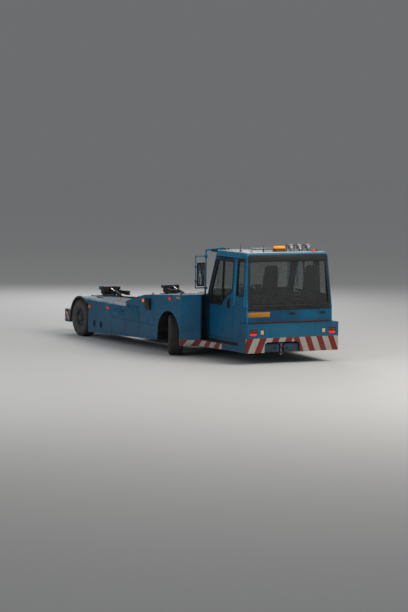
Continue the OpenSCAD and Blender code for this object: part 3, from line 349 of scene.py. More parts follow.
class Finish:
    """A material whose patterns run on the object's own coordinates."""

    def __init__(self, name, slot, roughness=0.5, metallic=0.0):
        self.material = bpy.data.materials.new(name)
        self.material.use_nodes = True
        self.material["slot"] = slot
        self.tree = self.material.node_tree
        self.shader = self.tree.nodes["Principled BSDF"]
        self.shader.inputs["Roughness"].default_value = roughness
        self.shader.inputs["Metallic"].default_value = metallic
        self.place = self.node("ShaderNodeTexCoord").outputs["Object"]

    def node(self, kind, **settings):
        made = self.tree.nodes.new(kind)
        for key, value in settings.items():
            setattr(made, key, value)
        return made

    def feed(self, socket, value):
        """Sets a socket to a number or colour, or links it to another socket."""
        if isinstance(value, bpy.types.NodeSocket):
            self.tree.links.new(value, socket)
        else:
            socket.default_value = value

    def along(self, axis):
        """Place along an axis, in metres."""
        split = self.node("ShaderNodeSeparateXYZ")
        self.feed(split.inputs[0], self.place)
        return split.outputs[axis]

    def stretched(self, scale):
        """The coordinates with each axis scaled by itself."""
        mapping = self.node("ShaderNodeMapping")
        self.feed(mapping.inputs["Vector"], self.place)
        mapping.inputs["Scale"].default_value = scale
        return mapping.outputs[0]

    def noise(self, scale, detail=4.0, stretch=None):
        noise = self.node("ShaderNodeTexNoise")
        self.feed(noise.inputs["Vector"], self.stretched(stretch) if stretch else self.place)
        noise.inputs["Scale"].default_value = scale
        noise.inputs["Detail"].default_value = detail
        return noise.outputs["Fac"]

    def cells(self, scale):
        cells = self.node("ShaderNodeTexVoronoi")
        self.feed(cells.inputs["Vector"], self.place)
        cells.inputs["Scale"].default_value = scale
        return cells.outputs["Distance"]

    def reckon(self, operation, first, second=0.0):
        step = self.node("ShaderNodeMath", operation=operation)
        self.feed(step.inputs[0], first)
        self.feed(step.inputs[1], second)
        return step.outputs[0]

    def plus(self, first, second):
        return self.reckon("ADD", first, second)

    def less(self, first, second):
        return self.reckon("SUBTRACT", first, second)

    def times(self, first, second):
        return self.reckon("MULTIPLY", first, second)

    def ramp(self, value, low, high, start=0.0, end=1.0):
        """value from low to high becomes start to end, and no further."""
        ramp = self.node("ShaderNodeMapRange")
        self.feed(ramp.inputs["Value"], value)
        for key, number in (("From Min", low), ("From Max", high), ("To Min", start), ("To Max", end)):
            ramp.inputs[key].default_value = number
        return ramp.outputs[0]

    def mix(self, amount, first, second):
        mix = self.node("ShaderNodeMix", data_type="RGBA")
        self.feed(mix.inputs[0], amount)
        self.feed(mix.inputs[6], first)
        self.feed(mix.inputs[7], second)
        return mix.outputs[2]

    def blotched(self, scale, detail, low, high, first, second):
        """Two colours in soft blotches."""
        return self.mix(self.ramp(self.noise(scale, detail), low, high), first, second)

    def colour(self, value):
        self.feed(self.shader.inputs["Base Color"], value)

    def roughness(self, value):
        self.feed(self.shader.inputs["Roughness"], value)

    def bump(self, height, strength=0.3, distance=0.002):
        bump = self.node("ShaderNodeBump")
        bump.inputs["Strength"].default_value = strength
        bump.inputs["Distance"].default_value = distance
        self.feed(bump.inputs["Height"], height)
        self.feed(self.shader.inputs["Normal"], bump.outputs[0])

    def constant(self, **sockets):
        """Sets sockets of the shader, named with _ for each space."""
        for key, value in sockets.items():
            self.shader.inputs[key.replace("_", " ")].default_value = value


def toned(colour, factor, lift=0.0):
    """A colour made darker or lighter."""
    return tuple(min(1, c * factor + lift) for c in colour[:3]) + (1,)


def weathered(finish, colour, dust=0.5, wear=0.5, gloss=0.34):
    """Paint that has stood outside: runs and dust low down, chips, fine orange peel."""
    runs = finish.noise(5.0, 6, (6, 6, 0.55))
    patches = finish.noise(1.7, 5)
    chips = finish.ramp(finish.noise(46, 5), 0.685, 0.70)
    low = finish.ramp(finish.along("Z"), CLEAN_Z, DUSTY_Z)
    dusty = finish.times(finish.ramp(patches, 0.30, 0.75), dust)
    dusty = finish.times(dusty, finish.ramp(low, 0, 1, 0.12, 0.8))
    streaks = finish.times(finish.ramp(runs, 0.52, 0.80), 0.42 * wear)
    colour = finish.mix(streaks, colour, GRIME)
    colour = finish.mix(dusty, colour, DUST)
    colour = finish.mix(finish.times(chips, wear), colour, GRIME)
    finish.colour(colour)
    rough = finish.plus(finish.ramp(patches, 0.3, 0.8, gloss, gloss + 0.18), streaks)
    finish.roughness(finish.plus(rough, finish.times(dusty, 0.45)))
    finish.constant(Specular_IOR_Level=0.22)
    peel = finish.times(finish.noise(260, 2), 0.35)
    finish.bump(finish.less(peel, chips), 0.25, 0.0012)
    return finish.material


def stripes(finish, lean, period, shift, across):
    """Where a slanting stripe lies: 1 on it and 0 beside it."""
    rise = finish.times(finish.along("Z"), lean)
    place = finish.plus(finish.plus(across, rise), shift)
    part = finish.reckon("FRACT", finish.reckon("DIVIDE", place, period))
    inside = finish.ramp(part, 0.0, STRIPE_EDGE)
    outside = finish.ramp(part, 0.5, 0.5 + STRIPE_EDGE)
    return finish.less(inside, outside)


def body_blue():
    finish = Finish("body_blue", "body_paint")
    shade = finish.blotched(0.8, 3, 0.35, 0.65, BLUE, FADED_BLUE)
    shade = finish.blotched(3.1, 4, 0.50, 0.85, shade, DEEP_BLUE)
    finish.constant(Coat_Weight=0.08, Coat_Roughness=0.25)
    return weathered(finish, shade)


def roof_paint():
    """Blue walls in painted highlight up to the roof's edge, and a top above it that is mid grey behind a
    pale front strip of painted sky reflection.
    """
    finish = Finish("roof_paint", "body_paint")
    top = finish.ramp(finish.along("Z"), CROWN_Z - 0.020, CROWN_Z - 0.014)
    ahead = finish.ramp(finish.along("X"), at(0.66), at(0.62))
    sheet = finish.mix(ahead, (0.13, 0.145, 0.15, 1), ROOF_SKY_REFLECTION)
    shade = finish.mix(top, finish.mix(finish.noise(2.0, 3), FADED_BLUE, HIGHLIGHT_BLUE), sheet)
    finish.constant(Coat_Weight=0.2, Coat_Roughness=0.25)
    return weathered(finish, shade, dust=0.35, wear=0.6)


def bumper_paint():
    """Blue above a band of red and white stripes that lean towards the middle; both are darker copies as
    painted shade.
    """
    finish = Finish("bumper_paint", "body_paint")
    left = finish.times(finish.along("Y"), -0.89)
    side = finish.reckon("MAXIMUM", finish.along("Y"), left)
    across = finish.plus(side, finish.times(finish.along("X"), -1.0))
    red = stripes(finish, 0.40, BUMPER_STRIPE, CAB_FACE_X - 0.294 + BUMPER_STRIPE * 3, across)
    band = finish.mix(red, SHADED_WHITE, SHADED_RED)
    face = finish.ramp(finish.along("X"), CAB_FACE_X - 0.036, CAB_FACE_X - 0.034)
    low = finish.times(finish.ramp(finish.along("Z"), BUMPER_BAND_Z + 0.003, BUMPER_BAND_Z), face)
    shade = finish.blotched(1.1, 3, 0.35, 0.65, SHADED_END_BLUE, DEEP_BLUE)
    finish.constant(Coat_Weight=0.08, Coat_Roughness=0.25)
    return weathered(finish, finish.mix(low, shade, band), dust=0.3, wear=0.75)


def skirt_paint():
    """Stripes on the half towards the wheels and plain blue towards the bumper."""
    finish = Finish("skirt_paint", "stripe_paint")
    back = finish.less(CAB_FACE_X, finish.along("X"))
    side = finish.times(finish.reckon("ABSOLUTE", finish.along("Y")), 0.8)
    red = stripes(finish, 0.95, SKIRT_STRIPE, 0.02, finish.plus(back, side))
    band = finish.mix(red, WHITE, RED)
    striped = finish.ramp(back, SKIRT_BAND_T, SKIRT_BAND_T + 0.007)
    shade = finish.mix(finish.noise(1.5, 3), DEEP_BLUE, BLUE)
    return weathered(finish, finish.mix(striped, shade, band), dust=0.7, wear=0.9)


def arm_bumper_paint():
    """Stripes round the arm ends' bumpers, with a blue foot."""
    finish = Finish("arm_bumper_paint", "stripe_paint")
    side = finish.reckon("ABSOLUTE", finish.along("Y"))
    across = finish.less(finish.along("X"), side)
    red = stripes(finish, 0.7, ARM_STRIPE, 20.0, across)
    band = finish.mix(red, WHITE, RED)
    low = finish.ramp(finish.along("Z"), ARM_BAND_Z + 0.004, ARM_BAND_Z)
    return weathered(finish, finish.mix(low, band, BLUE), dust=0.75, wear=0.9)


def pale_edge():
    """Body paint with a pale painted highlight along the arms' upper edges, where they catch the sky."""
    finish = Finish("pale_edge", "body_paint")
    highlight_mask = finish.ramp(finish.noise(3.2, 5, (0.5, 1, 1)), 0.30, 0.60)
    return weathered(finish, finish.mix(highlight_mask, FADED_BLUE, (0.34, 0.40, 0.43, 1)), 0.3, 0.9)


def beacon_shell():
    """Amber shell, brown where its foot shades it and shining above."""
    finish = Finish("beacon_shell", "amber_lens", 0.14)
    lit = finish.ramp(finish.along("Z"), CROWN_Z + 0.070, CROWN_Z + 0.098)
    ribs = finish.cells(110)
    shade = finish.mix(lit, (0.20, 0.045, 0.006, 1), (0.92, 0.33, 0.010, 1))
    shade = finish.mix(finish.ramp(ribs, 0.0, 0.6, 0.35, 0.0), shade, (0.30, 0.07, 0.004, 1))
    finish.colour(shade)
    finish.roughness(finish.ramp(finish.noise(30, 4), 0.3, 0.8, 0.10, 0.30))
    finish.feed(finish.shader.inputs["Emission Color"], shade)
    finish.feed(finish.shader.inputs["Emission Strength"], finish.times(lit, 0.55))
    finish.constant(Coat_Weight=0.6, Coat_Roughness=0.06, IOR=1.49)
    finish.bump(ribs, 0.35, 0.0012)
    return finish.material


def blotched_paint(name, slot, blotches, first, second, dust=0.5, wear=0.5, gloss=0.34):
    """Weathered paint of two colours in blotches of (scale, detail, low, high)."""
    finish = Finish(name, slot)
    return weathered(finish, finish.blotched(*blotches, first, second), dust, wear, gloss)


def dark_paint(name, slot, colour, dust):
    lighter = toned(colour, 1.9, 0.012)
    return blotched_paint(name, slot, (4.5, 4, 0.3, 0.75), colour, lighter, dust, 0.5, 0.42)


def worn_steel(name, colour=BARE_STEEL, roughness=0.34):
    """Bright metal with fine drawn lines, dull patches and a little rust."""
    finish = Finish(name, name, roughness, 1.0)
    lines = finish.noise(90, 3, (1, 1, 14))
    patches = finish.noise(7, 5)
    shade = finish.mix(finish.ramp(patches, 0.4, 0.75), colour, toned(colour, 0.55))
    rust = finish.ramp(finish.noise(15, 6), 0.66, 0.74)
    finish.colour(finish.mix(finish.times(rust, 0.5), shade, (0.12, 0.045, 0.02, 1)))
    finish.roughness(finish.ramp(finish.plus(lines, patches), 0.7, 1.4, roughness - 0.08, roughness + 0.22))
    finish.bump(lines, 0.12, 0.0006)
    return finish.material


def tyre_rubber(name, side_dust=0.0):
    """Black rubber with grey dust in the tread, and more on the rear wheels' sidewalls."""
    finish = Finish(name, "tyre_rubber")
    dust = finish.times(finish.ramp(finish.noise(7, 5), 0.40, 0.78), 0.38)
    if side_dust:
        run = finish.reckon("POWER", finish.less(finish.along("X"), at(REAR_AXLE_T)), 2.0)
        rise = finish.reckon("POWER", finish.less(finish.along("Z"), HUB_Z), 2.0)
        radius = finish.reckon("SQRT", finish.plus(run, rise))
        dust = finish.plus(dust, finish.ramp(radius, 0.535, 0.44, 0.0, side_dust))
    shade = finish.mix(finish.noise(28, 3), (0.011, 0.011, 0.011, 1), (0.022, 0.021, 0.020, 1))
    finish.colour(finish.mix(dust, shade, (0.105, 0.095, 0.083, 1)))
    finish.roughness(finish.ramp(dust, 0, 0.38, 0.62, 0.9))
    finish.bump(finish.plus(finish.noise(150, 4), finish.cells(90)), 0.22, 0.0012)
    return finish.material


def moulded(name, slot, colour, roughness=0.5, grain=420):
    """Moulded plastic or rubber with a leather grain and scuffs."""
    finish = Finish(name, slot)
    scuffs = finish.ramp(finish.noise(24, 6, (1, 3, 1)), 0.60, 0.80)
    shade = finish.mix(finish.noise(3.0, 3), colour, toned(colour, 0.7))
    finish.colour(finish.mix(finish.times(scuffs, 0.6), shade, toned(colour, 1.7, 0.02)))
    finish.roughness(finish.ramp(finish.noise(9, 4), 0.3, 0.75, roughness - 0.08, roughness + 0.14))
    finish.constant(Specular_IOR_Level=0.3)
    finish.bump(finish.cells(grain), 0.20, 0.0005)
    return finish.material


def ribbed_rubber():
    """Rubber floor covering with round studs and trodden dirt."""
    finish = Finish("floor_mat", "floor_rubber")
    studs = finish.ramp(finish.cells(38), 0.30, 0.42)
    dirt = finish.ramp(finish.noise(5, 6), 0.42, 0.75)
    finish.colour(finish.mix(finish.times(dirt, 0.5), (0.020, 0.020, 0.021, 1), DUST))
    finish.roughness(finish.ramp(dirt, 0, 1, 0.55, 0.85))
    finish.bump(studs, 0.5, 0.002)
    return finish.material


def seat_cloth():
    """Woven seat cover: crossing threads, faint fading and a soft sheen."""
    finish = Finish("seat_cloth", "seat_cloth")
    threads = []
    for direction in ("X", "Z"):
        wave = finish.node("ShaderNodeTexWave", bands_direction=direction)
        finish.feed(wave.inputs["Vector"], finish.place)
        wave.inputs["Scale"].default_value = 105
        wave.inputs["Distortion"].default_value = 1.2
        threads.append(wave.outputs["Fac"])
    weave = finish.times(threads[0], threads[1])
    fading = finish.ramp(finish.noise(6, 4), 0.35, 0.75)
    shade = finish.mix(fading, (0.008, 0.009, 0.011, 1), (0.018, 0.019, 0.022, 1))
    finish.colour(finish.mix(finish.times(weave, 0.5), shade, (0.032, 0.034, 0.038, 1)))
    finish.roughness(finish.ramp(fading, 0, 1, 0.80, 0.95))
    finish.constant(Sheen_Weight=0.15, Sheen_Roughness=0.5)
    finish.bump(weave, 0.45, 0.0008)
    return finish.material


def pane_glass():
    """Window glass with a light tint and a thin uneven film of dust."""
    tint = (0.53, 0.565, 0.555, 1)
    finish = Finish("cab_glass", "cab_glass", 0.03)
    film = finish.ramp(finish.noise(4, 6), 0.35, 0.9)
    finish.colour(finish.mix(finish.times(film, 0.12), tint, (0.50, 0.51, 0.49, 1)))
    finish.roughness(finish.ramp(film, 0, 1, 0.0, 0.03))
    finish.constant(Transmission_Weight=0.97, IOR=1.45, Specular_IOR_Level=0.3)
    finish.bump(finish.noise(2.5, 1), 0.02, 0.002)
    return finish.material


def lens(name, slot, colour, glow=0.0, pitch=170):
    """A moulded lamp lens with small prisms, which may shine."""
    finish = Finish(name, slot, 0.14)
    prisms = finish.plus(finish.noise(14, 2), finish.cells(pitch))
    shade = finish.mix(finish.ramp(finish.cells(pitch), 0.1, 0.6), toned(colour, 0.5), colour)
    finish.colour(shade)
    finish.roughness(finish.ramp(finish.noise(30, 4), 0.3, 0.8, 0.10, 0.30))
    finish.constant(Coat_Weight=0.3, Coat_Roughness=0.06, IOR=1.49)
    if glow:
        finish.feed(finish.shader.inputs["Emission Color"], shade)
        finish.constant(Emission_Strength=glow)
    finish.bump(prisms, 0.35, 0.0012)
    return finish.material


def mirror_glass():
    finish = Finish("mirror_glass", "mirror_glass", 0.02, 1.0)
    smear = finish.ramp(finish.noise(8, 5), 0.45, 0.85)
    finish.colour(finish.mix(smear, (0.82, 0.85, 0.86, 1), (0.62, 0.64, 0.64, 1)))
    finish.roughness(finish.ramp(smear, 0, 1, 0.012, 0.12))
    finish.bump(finish.noise(3, 1), 0.02, 0.001)
    return finish.material


BODY = body_blue()
# The end wall in the darker blue of painted shade.
SHADED_END_WALL = blotched_paint("end_wall_shaded_blue", "body_paint", (1.1, 3, 0.35, 0.65), DEEP_BLUE, SHADED_END_BLUE, 0.2)
ROOF = roof_paint()
BUMPER = bumper_paint()
SKIRT = skirt_paint()
ARM_BUMPER = arm_bumper_paint()
RIM = blotched_paint("rim_blue", "rim_paint", (9, 4, 0.35, 0.7), *RIM_BLUES, 0.95, 0.9, 0.5)
FRAME = dark_paint("frame_paint", "frame_paint", (0.016, 0.016, 0.018, 1), 0.45)
BLACK = dark_paint("black_paint", "black_paint", (0.010, 0.010, 0.011, 1), 0.25)
NOTCH_SHADE = blotched_paint("notch_shade_blue", "body_paint", (6, 4, 0.35, 0.65), DEEP_BLUE, NOTCH_SHADE_BLUE, 0.35, 0.9)
# Painted shade: near black for the faces of the front wheels' bays.
BAY_SHADE = dark_paint("wheel_bay_shade", "black_paint", (0.006, 0.006, 0.006, 1), 0.12)
EDGE = pale_edge()
# Painted highlight on edges, corners and mouldings of the cab, bumper, deck and fenders; the same bright blue
# also colours the clamp towers' blocks and the mirrors' sleeves.
HIGHLIGHT_AND_TRIM_BLUE = blotched_paint("highlight_and_trim_blue", "body_paint", (2.0, 3, 0.0, 1.0), FADED_BLUE, HIGHLIGHT_BLUE, 0.2)
IRON = dark_paint("engine_iron", "engine_iron", (0.05, 0.05, 0.048, 1), 0.6)
CHROME = worn_steel("rod_chrome", (0.72, 0.72, 0.74, 1), 0.16)
STEEL = worn_steel("fittings_steel")
TYRE = tyre_rubber("tyre_rubber")
DUSTY_TYRE = tyre_rubber("dusty_tyre_rubber", 0.55)
PLASTIC = moulded("black_plastic", "black_plastic", (0.018, 0.018, 0.019, 1))
GREY_PLASTIC = moulded("grey_plastic", "grey_plastic", (0.085, 0.088, 0.090, 1), 0.55, 300)
SEAL = moulded("rubber_seal", "seal_rubber", (0.012, 0.012, 0.012, 1), 0.6, 900)
# Painted shade: the cab's inner faces very dark for the shade inside the cab.
SHADED_LINING = moulded("cab_lining_shade", "grey_plastic", (0.020, 0.021, 0.022, 1), 0.7, 300)
BEACON_FOOT = moulded("beacon_foot", "amber_lens", (0.20, 0.052, 0.008, 1), 0.35, 200)
# Painted shade: a dark reddish brown for the gap between the end wall and the bumper.
GAP_SHADE_BROWN = moulded("gap_shade_brown", "seal_rubber", (0.085, 0.022, 0.015, 1), 0.6, 300)
MAT = ribbed_rubber()
CLOTH = seat_cloth()
GLASS = pane_glass()
RED_LENS = lens("red_lens", "red_lens", (0.06, 0.006, 0.005, 1))
MARKER_RED = lens("marker_red", "red_lens", (0.60, 0.045, 0.012, 1), 0.15)
RED_LIT = lens("red_lit", "red_lens", (0.75, 0.0, 0.012, 1), 0.9)
AMBER = beacon_shell()
MARKER = lens("marker_lens", "amber_lens", (0.95, 0.20, 0.015, 1), 0.35)
CLEAR = lens("clear_lens", "clear_lens", (0.42, 0.38, 0.30, 1), 0.08)
WORK_LENS = lens("work_lens", "clear_lens", (0.50, 0.50, 0.47, 1), 0.10, 60)
MIRROR = mirror_glass()
LABEL = moulded("orange_label", "label_orange", (0.46, 0.19, 0.010, 1), 0.45, 60)
PLATE = moulded("beige_plate", "label_beige", (0.33, 0.25, 0.15, 1), 0.5, 60)


# Finishes of the frame's own solids, and round edges on them

NODE_FINISHES = {
    BODY: "main_frame deck_body engine_hood arm_{} fenders cab_side_{} cab_deck_wall door_{}",
    SHADED_END_WALL: "cab_end_wall", ROOF: "cab_roof", BUMPER: "bumper", SKIRT: "skirts",
    ARM_BUMPER: "arm_bumpers", RIM: "rim_front_{} rim_rear_{}",
    FRAME: "front_axle stub_axles tow_jaw knuckle_{} clamp_brackets",
    BLACK: "clamp_tower_{} clamp_arm_{} barrel_{} cradle",
    IRON: "engine", CHROME: "rod_{}", MAT: "cab_floor",
    PLASTIC: "dashboard steering_wheel mirrors roof_gear head_lamps",
    GLASS: "cab_glass door_glass_{}", CLOTH: "seats", TYRE: "tyre_front_{} tyre_rear_{}",
    AMBER: "beacon", MARKER_RED: "red_lamps", CLEAR: "clear_lamps", MARKER: "amber_lamps",
}
EDGE_WIDTHS = {
    0.004: "mirrors",
    0.005: "skirts knuckle_{} tow_jaw",
    0.006: "engine_hood fenders cab_side_{} door_{} cab_roof cradle clamp_tower_{} clamp_arm_{} "
           "front_axle cab_floor",
    0.008: "main_frame cab_end_wall cab_deck_wall head_lamps",
    0.012: "deck_body arm_{} bumper arm_bumpers dashboard",
    0.015: "engine",
}
WELD_DISTANCE, EDGE_ANGLE = 0.00001, 32
HIGHLIGHTED_EDGES = ("deck_body", "fenders", "cab_roof", "cab_end_wall", "cab_side_left", "cab_side_right",
                "door_left", "door_right", "arm_bumpers")


def nodes_in(words):
    """Names of nodes in a line of words; {} stands for left and then for right."""
    for word in words.split():
        for side in ("left", "right") if "{}" in word else ("",):
            yield word.format(side)


BAY_RADIUS, BAY_TOP_Z, BAY_WALL_Y = 0.665, 1.27, 1.29
HOOD_T, HOOD_END_T, HOOD_HALF_WIDTH, HOOD_THICK = 3.40, 4.56, 1.005, 0.046


def in_bay(centre, normal):
    """Whether a face lines a front wheel's bay."""
    return (abs(centre.x - at(FRONT_AXLE_T)) < BAY_RADIUS and centre.z < BAY_TOP_Z
            and BAY_WALL_Y < abs(centre.y) < HALF_WIDTH - 0.005)


def faces_inward(centre, normal):
    """Whether a face of the cab's shell looks into the cab, where it gets painted shade."""
    return normal.dot(centre - CAB_MIDDLE) < 0


def cab_corner(centre, normal):
    """Whether a face rounds a corner between the end wall and a side, which gets painted highlight."""
    return centre.x > at(0.55) and abs(normal.y) > 0.12 and normal.x > 0.12


def upper_edge(centre, normal):
    """Whether a face rounds an edge that looks up and outwards."""
    return normal.z > 0.3 and abs(normal.y) > 0.3


def outside_door(centre, normal):
    """Whether a face belongs to the handle or the hinges."""
    return abs(centre.y) > CAB_HALF_WIDTH + 0.003


def under_hood(centre, normal):
    """Whether a face lines the engine's bay."""
    return (at(HOOD_END_T) < centre.x < at(HOOD_T) and abs(centre.y) < HOOD_HALF_WIDTH
            and normal.z > -0.5 and centre.z < deck_z(CAB_FACE_X - centre.x) - HOOD_THICK)


def bright_top(centre, normal):
    """Whether a face rounds an upper edge, which gets painted highlight."""
    return normal.z > 0.2 and (normal.x > 0.1 or abs(normal.y) > 0.1)


REPAINTED = [
    # The front wheels' bays get painted shade.
    ("main_frame deck_body", BAY_SHADE, in_bay), ("main_frame deck_body", IRON, under_hood),
    ("cab_end_wall cab_deck_wall cab_side_{} cab_roof door_{}", SHADED_LINING, faces_inward),
    # The arms' upper edges get painted highlight.
    ("door_{}", PLASTIC, outside_door), ("arm_{}", EDGE, upper_edge),
    # Painted highlight on the cab's rounded corners.
    ("cab_end_wall cab_side_{}", HIGHLIGHT_AND_TRIM_BLUE, cab_corner),
]


def repaint(piece, finish, wanted):
    """Gives another finish to the faces for which wanted(centre, normal) is true."""
    data = piece.data
    data.materials.append(finish)
    for face in data.polygons:
        if wanted(face.center, face.normal):
            face.material_index = len(data.materials) - 1


def dress_nodes():
    """Gives every CAD node its finishes, and the larger ones round edges; on some nodes these round edges
    carry painted highlight.
    """
    for finish, words in NODE_FINISHES.items():
        for name in nodes_in(words):
            data = nodes[name].data
            data.materials.clear()
            data.materials.append(finish)
    for words, finish, wanted in REPAINTED:
        for name in nodes_in(words):
            repaint(nodes[name], finish, wanted)
    for width, words in EDGE_WIDTHS.items():
        for name in nodes_in(words):
            node = nodes[name]
            node.modifiers.new("weld", "WELD").merge_threshold = WELD_DISTANCE
            bevel = node.modifiers.new("edges", "BEVEL")
            bevel.width = width
            bevel.segments = 2
            bevel.limit_method = "ANGLE"
            bevel.angle_limit = math.radians(EDGE_ANGLE)
            # These nodes' round edges get painted highlight.
            if name in HIGHLIGHTED_EDGES:
                node.data.materials.append(HIGHLIGHT_AND_TRIM_BLUE)
                bevel.material = len(node.data.materials) - 1


# Camera, floor and light

CAMERA_PLACE = (53.05, -29.41, 6.273)
CAMERA_HEADING = (-0.8746, 0.4848)
CAMERA_PITCH = 4.79
CAMERA_ROLL = 0.014
CAMERA_LENS, CAMERA_SENSOR, CAMERA_REACH = 120.6, 36, 400
FLOOR_SIZE, FLOOR_COLOUR = 400, (0.62, 0.61, 0.59, 1)
SKY_LIGHT, SKY_STRENGTH = (0.80, 0.83, 0.87, 1), 0.30
SKY_SEEN = (0.1505, 0.1538, 0.1559, 1)
LIGHTS = {
    "key": ((17, 7, 15), (1, 0, 1), 12, 3400, (1.0, 0.97, 0.93)),
    "fill": ((4, -19, 9), (0, 0, 1), 14, 900, (0.93, 0.96, 1.0)),
    "back": ((-17, 6, 12), (0, 0, 1), 12, 1300, (0.95, 0.97, 1.0)),
}


def hold(data, place, look, roll=0.0):
    """Puts a camera or a lamp at a place, looking along a direction."""
    holder = bpy.data.objects.new(data.name, data)
    bpy.context.scene.collection.objects.link(holder)
    turn = look.to_track_quat("-Z", "Y").to_matrix() @ Matrix.Rotation(roll, 3, "Z")
    holder.matrix_world = Matrix.Translation(place) @ turn.to_4x4()
    return holder


def set_camera():
    camera = bpy.data.cameras.new("camera")
    camera.lens = CAMERA_LENS
    camera.sensor_width = CAMERA_SENSOR
    camera.clip_end = CAMERA_REACH
    pitch = math.radians(CAMERA_PITCH)
    ahead, aside = CAMERA_HEADING
    look = Vector((ahead * math.cos(pitch), aside * math.cos(pitch), -math.sin(pitch)))
    bpy.context.scene.camera = hold(camera, CAMERA_PLACE, look, CAMERA_ROLL)


def set_light():
    """Three area lamps, a sky that lights and a darker grey that is seen in its place."""
    for name, (place, aim, size, power, colour) in LIGHTS.items():
        lamp = bpy.data.lights.new(name, "AREA")
        lamp.size = size
        lamp.energy = power
        lamp.color = colour
        hold(lamp, place, Vector(aim) - Vector(place))
    world = bpy.data.worlds.new("world")
    world.use_nodes = True
    tree = world.node_tree
    sky = tree.nodes["Background"]
    seen = tree.nodes.new("ShaderNodeBackground")
    for back, colour, strength in ((sky, SKY_LIGHT, SKY_STRENGTH), (seen, SKY_SEEN, 1.0)):
        back.inputs["Color"].default_value = colour
        back.inputs["Strength"].default_value = strength
    path = tree.nodes.new("ShaderNodeLightPath")
    mixer = tree.nodes.new("ShaderNodeMixShader")
    straight = path.outputs["Is Camera Ray"]
    for ray in ("Is Glossy Ray", "Is Transmission Ray"):
        either = tree.nodes.new("ShaderNodeMath")
        either.operation = "MAXIMUM"
        tree.links.new(straight, either.inputs[0])
        tree.links.new(path.outputs[ray], either.inputs[1])
        straight = either.outputs[0]
    for socket, source in zip(mixer.inputs, (straight, sky.outputs[0], seen.outputs[0])):
        tree.links.new(source, socket)
    tree.links.new(mixer.outputs[0], tree.nodes["World Output"].inputs["Surface"])
    bpy.context.scene.world = world
    bpy.context.scene.view_settings.view_transform = "Standard"


def set_floor():
    deselect()
    bpy.ops.mesh.primitive_plane_add(size=FLOOR_SIZE, location=ORIGIN)
    floor = bpy.context.object
    floor.name = "floor"
    ground = bpy.data.materials.new("pale_floor")
    ground.use_nodes = True
    shader = ground.node_tree.nodes["Principled BSDF"]
    shader.inputs["Base Color"].default_value = FLOOR_COLOUR
    shader.inputs["Roughness"].default_value = 0.9
    floor.data.materials.append(ground)


# Places on the machine's faces: the point at two coordinates of a face, moved out by a little

def side_y(z):
    """Half width of the cab at a height above its belt."""
    return CAB_HALF_WIDTH - (z - BELT_Z) * SIDE_LEAN / CAB_RISE


def on_end(y, z, out=0.0):
    """The cab's leaning end wall above the belt."""
    x = at(END_WALL_T + (z - BELT_Z) * END_LEAN / CAB_RISE)
    return Vector((x + out, y, z + out * END_TILT))


def on_end_foot(y, z, out=0.0):
    """The upright end wall below the belt."""
    return Vector((at(END_WALL_T) + out, y, z))


def on_bumper(y, z, out=0.0):
    return Vector((CAB_FACE_X + out, y, z))


def on_deck_wall(y, z, out=0.0):
    """The cab's leaning wall towards the deck."""
    x = at(DECK_WALL_T - (z - DECK_WALL_Z) * DECK_WALL_LEAN / DECK_WALL_RISE)
    return Vector((x - out, y, z + out * DECK_WALL_TILT))


def on_side(t, z, out=0.0):
    """The cab's left side above the belt."""
    return Vector((at(t), -side_y(z) - out, z + out * SIDE_TILT))


def on_door(t, z, out=0.0):
    """The cab's left side below the belt."""
    return Vector((at(t), -CAB_HALF_WIDTH - out, z))


def on_body(t, z, out=0.0):
    """The left side of the body and the arm."""
    return Vector((at(t), -HALF_WIDTH - out, z))


def on_deck(t, y, out=0.0):
    """The deck's straight slope."""
    return Vector((at(t), y, deck_z(t) + out))


def on_arm(t, y, out=0.0):
    return Vector((at(t), y, ARM_TOP_Z + out))


def rectangle(a0, b0, a1, b1):
    return [(a0, b0), (a1, b0), (a1, b1), (a0, b1)]


def corners_of(points):
    """Each corner of a closed outline with the ones before and after it."""
    return zip(points[-1:] + points[:-1], points, points[1:] + points[:1])


def grown(points, by):
    """A flat outline moved outwards by a distance."""
    area = sum(p[0] * q[1] - q[0] * p[1] for p, q in zip(points, points[1:] + points[:1]))
    turn = 1 if area > 0 else -1
    moved = []
    for before, here, after in corners_of([Vector(p) for p in points]):
        sides = [(here - before).normalized(), (after - here).normalized()]
        first, second = [Vector((side.y, -side.x)) * turn for side in sides]
        moved.append(here + (first + second) / (1 + first.dot(second)) * by)
    return moved


def rounded(points, radius, steps=4):
    """A closed outline with round corners."""
    path = []
    for before, here, after in corners_of([Vector(p) for p in points]):
        back = (before - here).normalized() * radius
        on = (after - here).normalized() * radius
        path += [here + back * (1 - i / steps) ** 2 + on * (i / steps) ** 2 for i in range(steps + 1)]
    return path


def panel(face, outline, thick=0.004, out=0.0, radius=0.008, edge=0.001):
    """A thin plate with round corners that lies on a face."""
    base = [face(*p, out) for p in rounded(outline, radius)]
    return plate(base, face(*outline[0], out + thick) - face(*outline[0], out), edge)


def cut(piece, cutter):
    """Takes the cutter's shape out of a piece."""
    modify(piece, "BOOLEAN", operation="DIFFERENCE", object=cutter)
    drop(cutter)
    return piece


def window_frame(face, outline, outer, inner, out=0.004, sink=0.026, radius=0.05):
    """A frame round a window: from outer beyond its outline to inner within it."""
    depth = face(*outline[0], out) - face(*outline[0], -sink)
    rim = [face(*p, -sink) for p in rounded(grown(outline, outer), radius + outer)]
    hole = [face(*p, -sink) - depth for p in rounded(grown(outline, -inner), radius)]
    return round_edges(cut(plate(rim, depth, 0), plate(hole, depth * 3, 0)), 0.002)


# Wheels

TREAD_PITCHES = 40
WHEELS = {
    "front_left": ((1.83776, -1.93346, HUB_Z), -27), "front_right": ((1.89224, 1.93346, HUB_Z), 153),
    "rear_left": ((-4.015, -1.975, HUB_Z), 0), "rear_right": ((-4.015, 1.975, HUB_Z), 180),
}


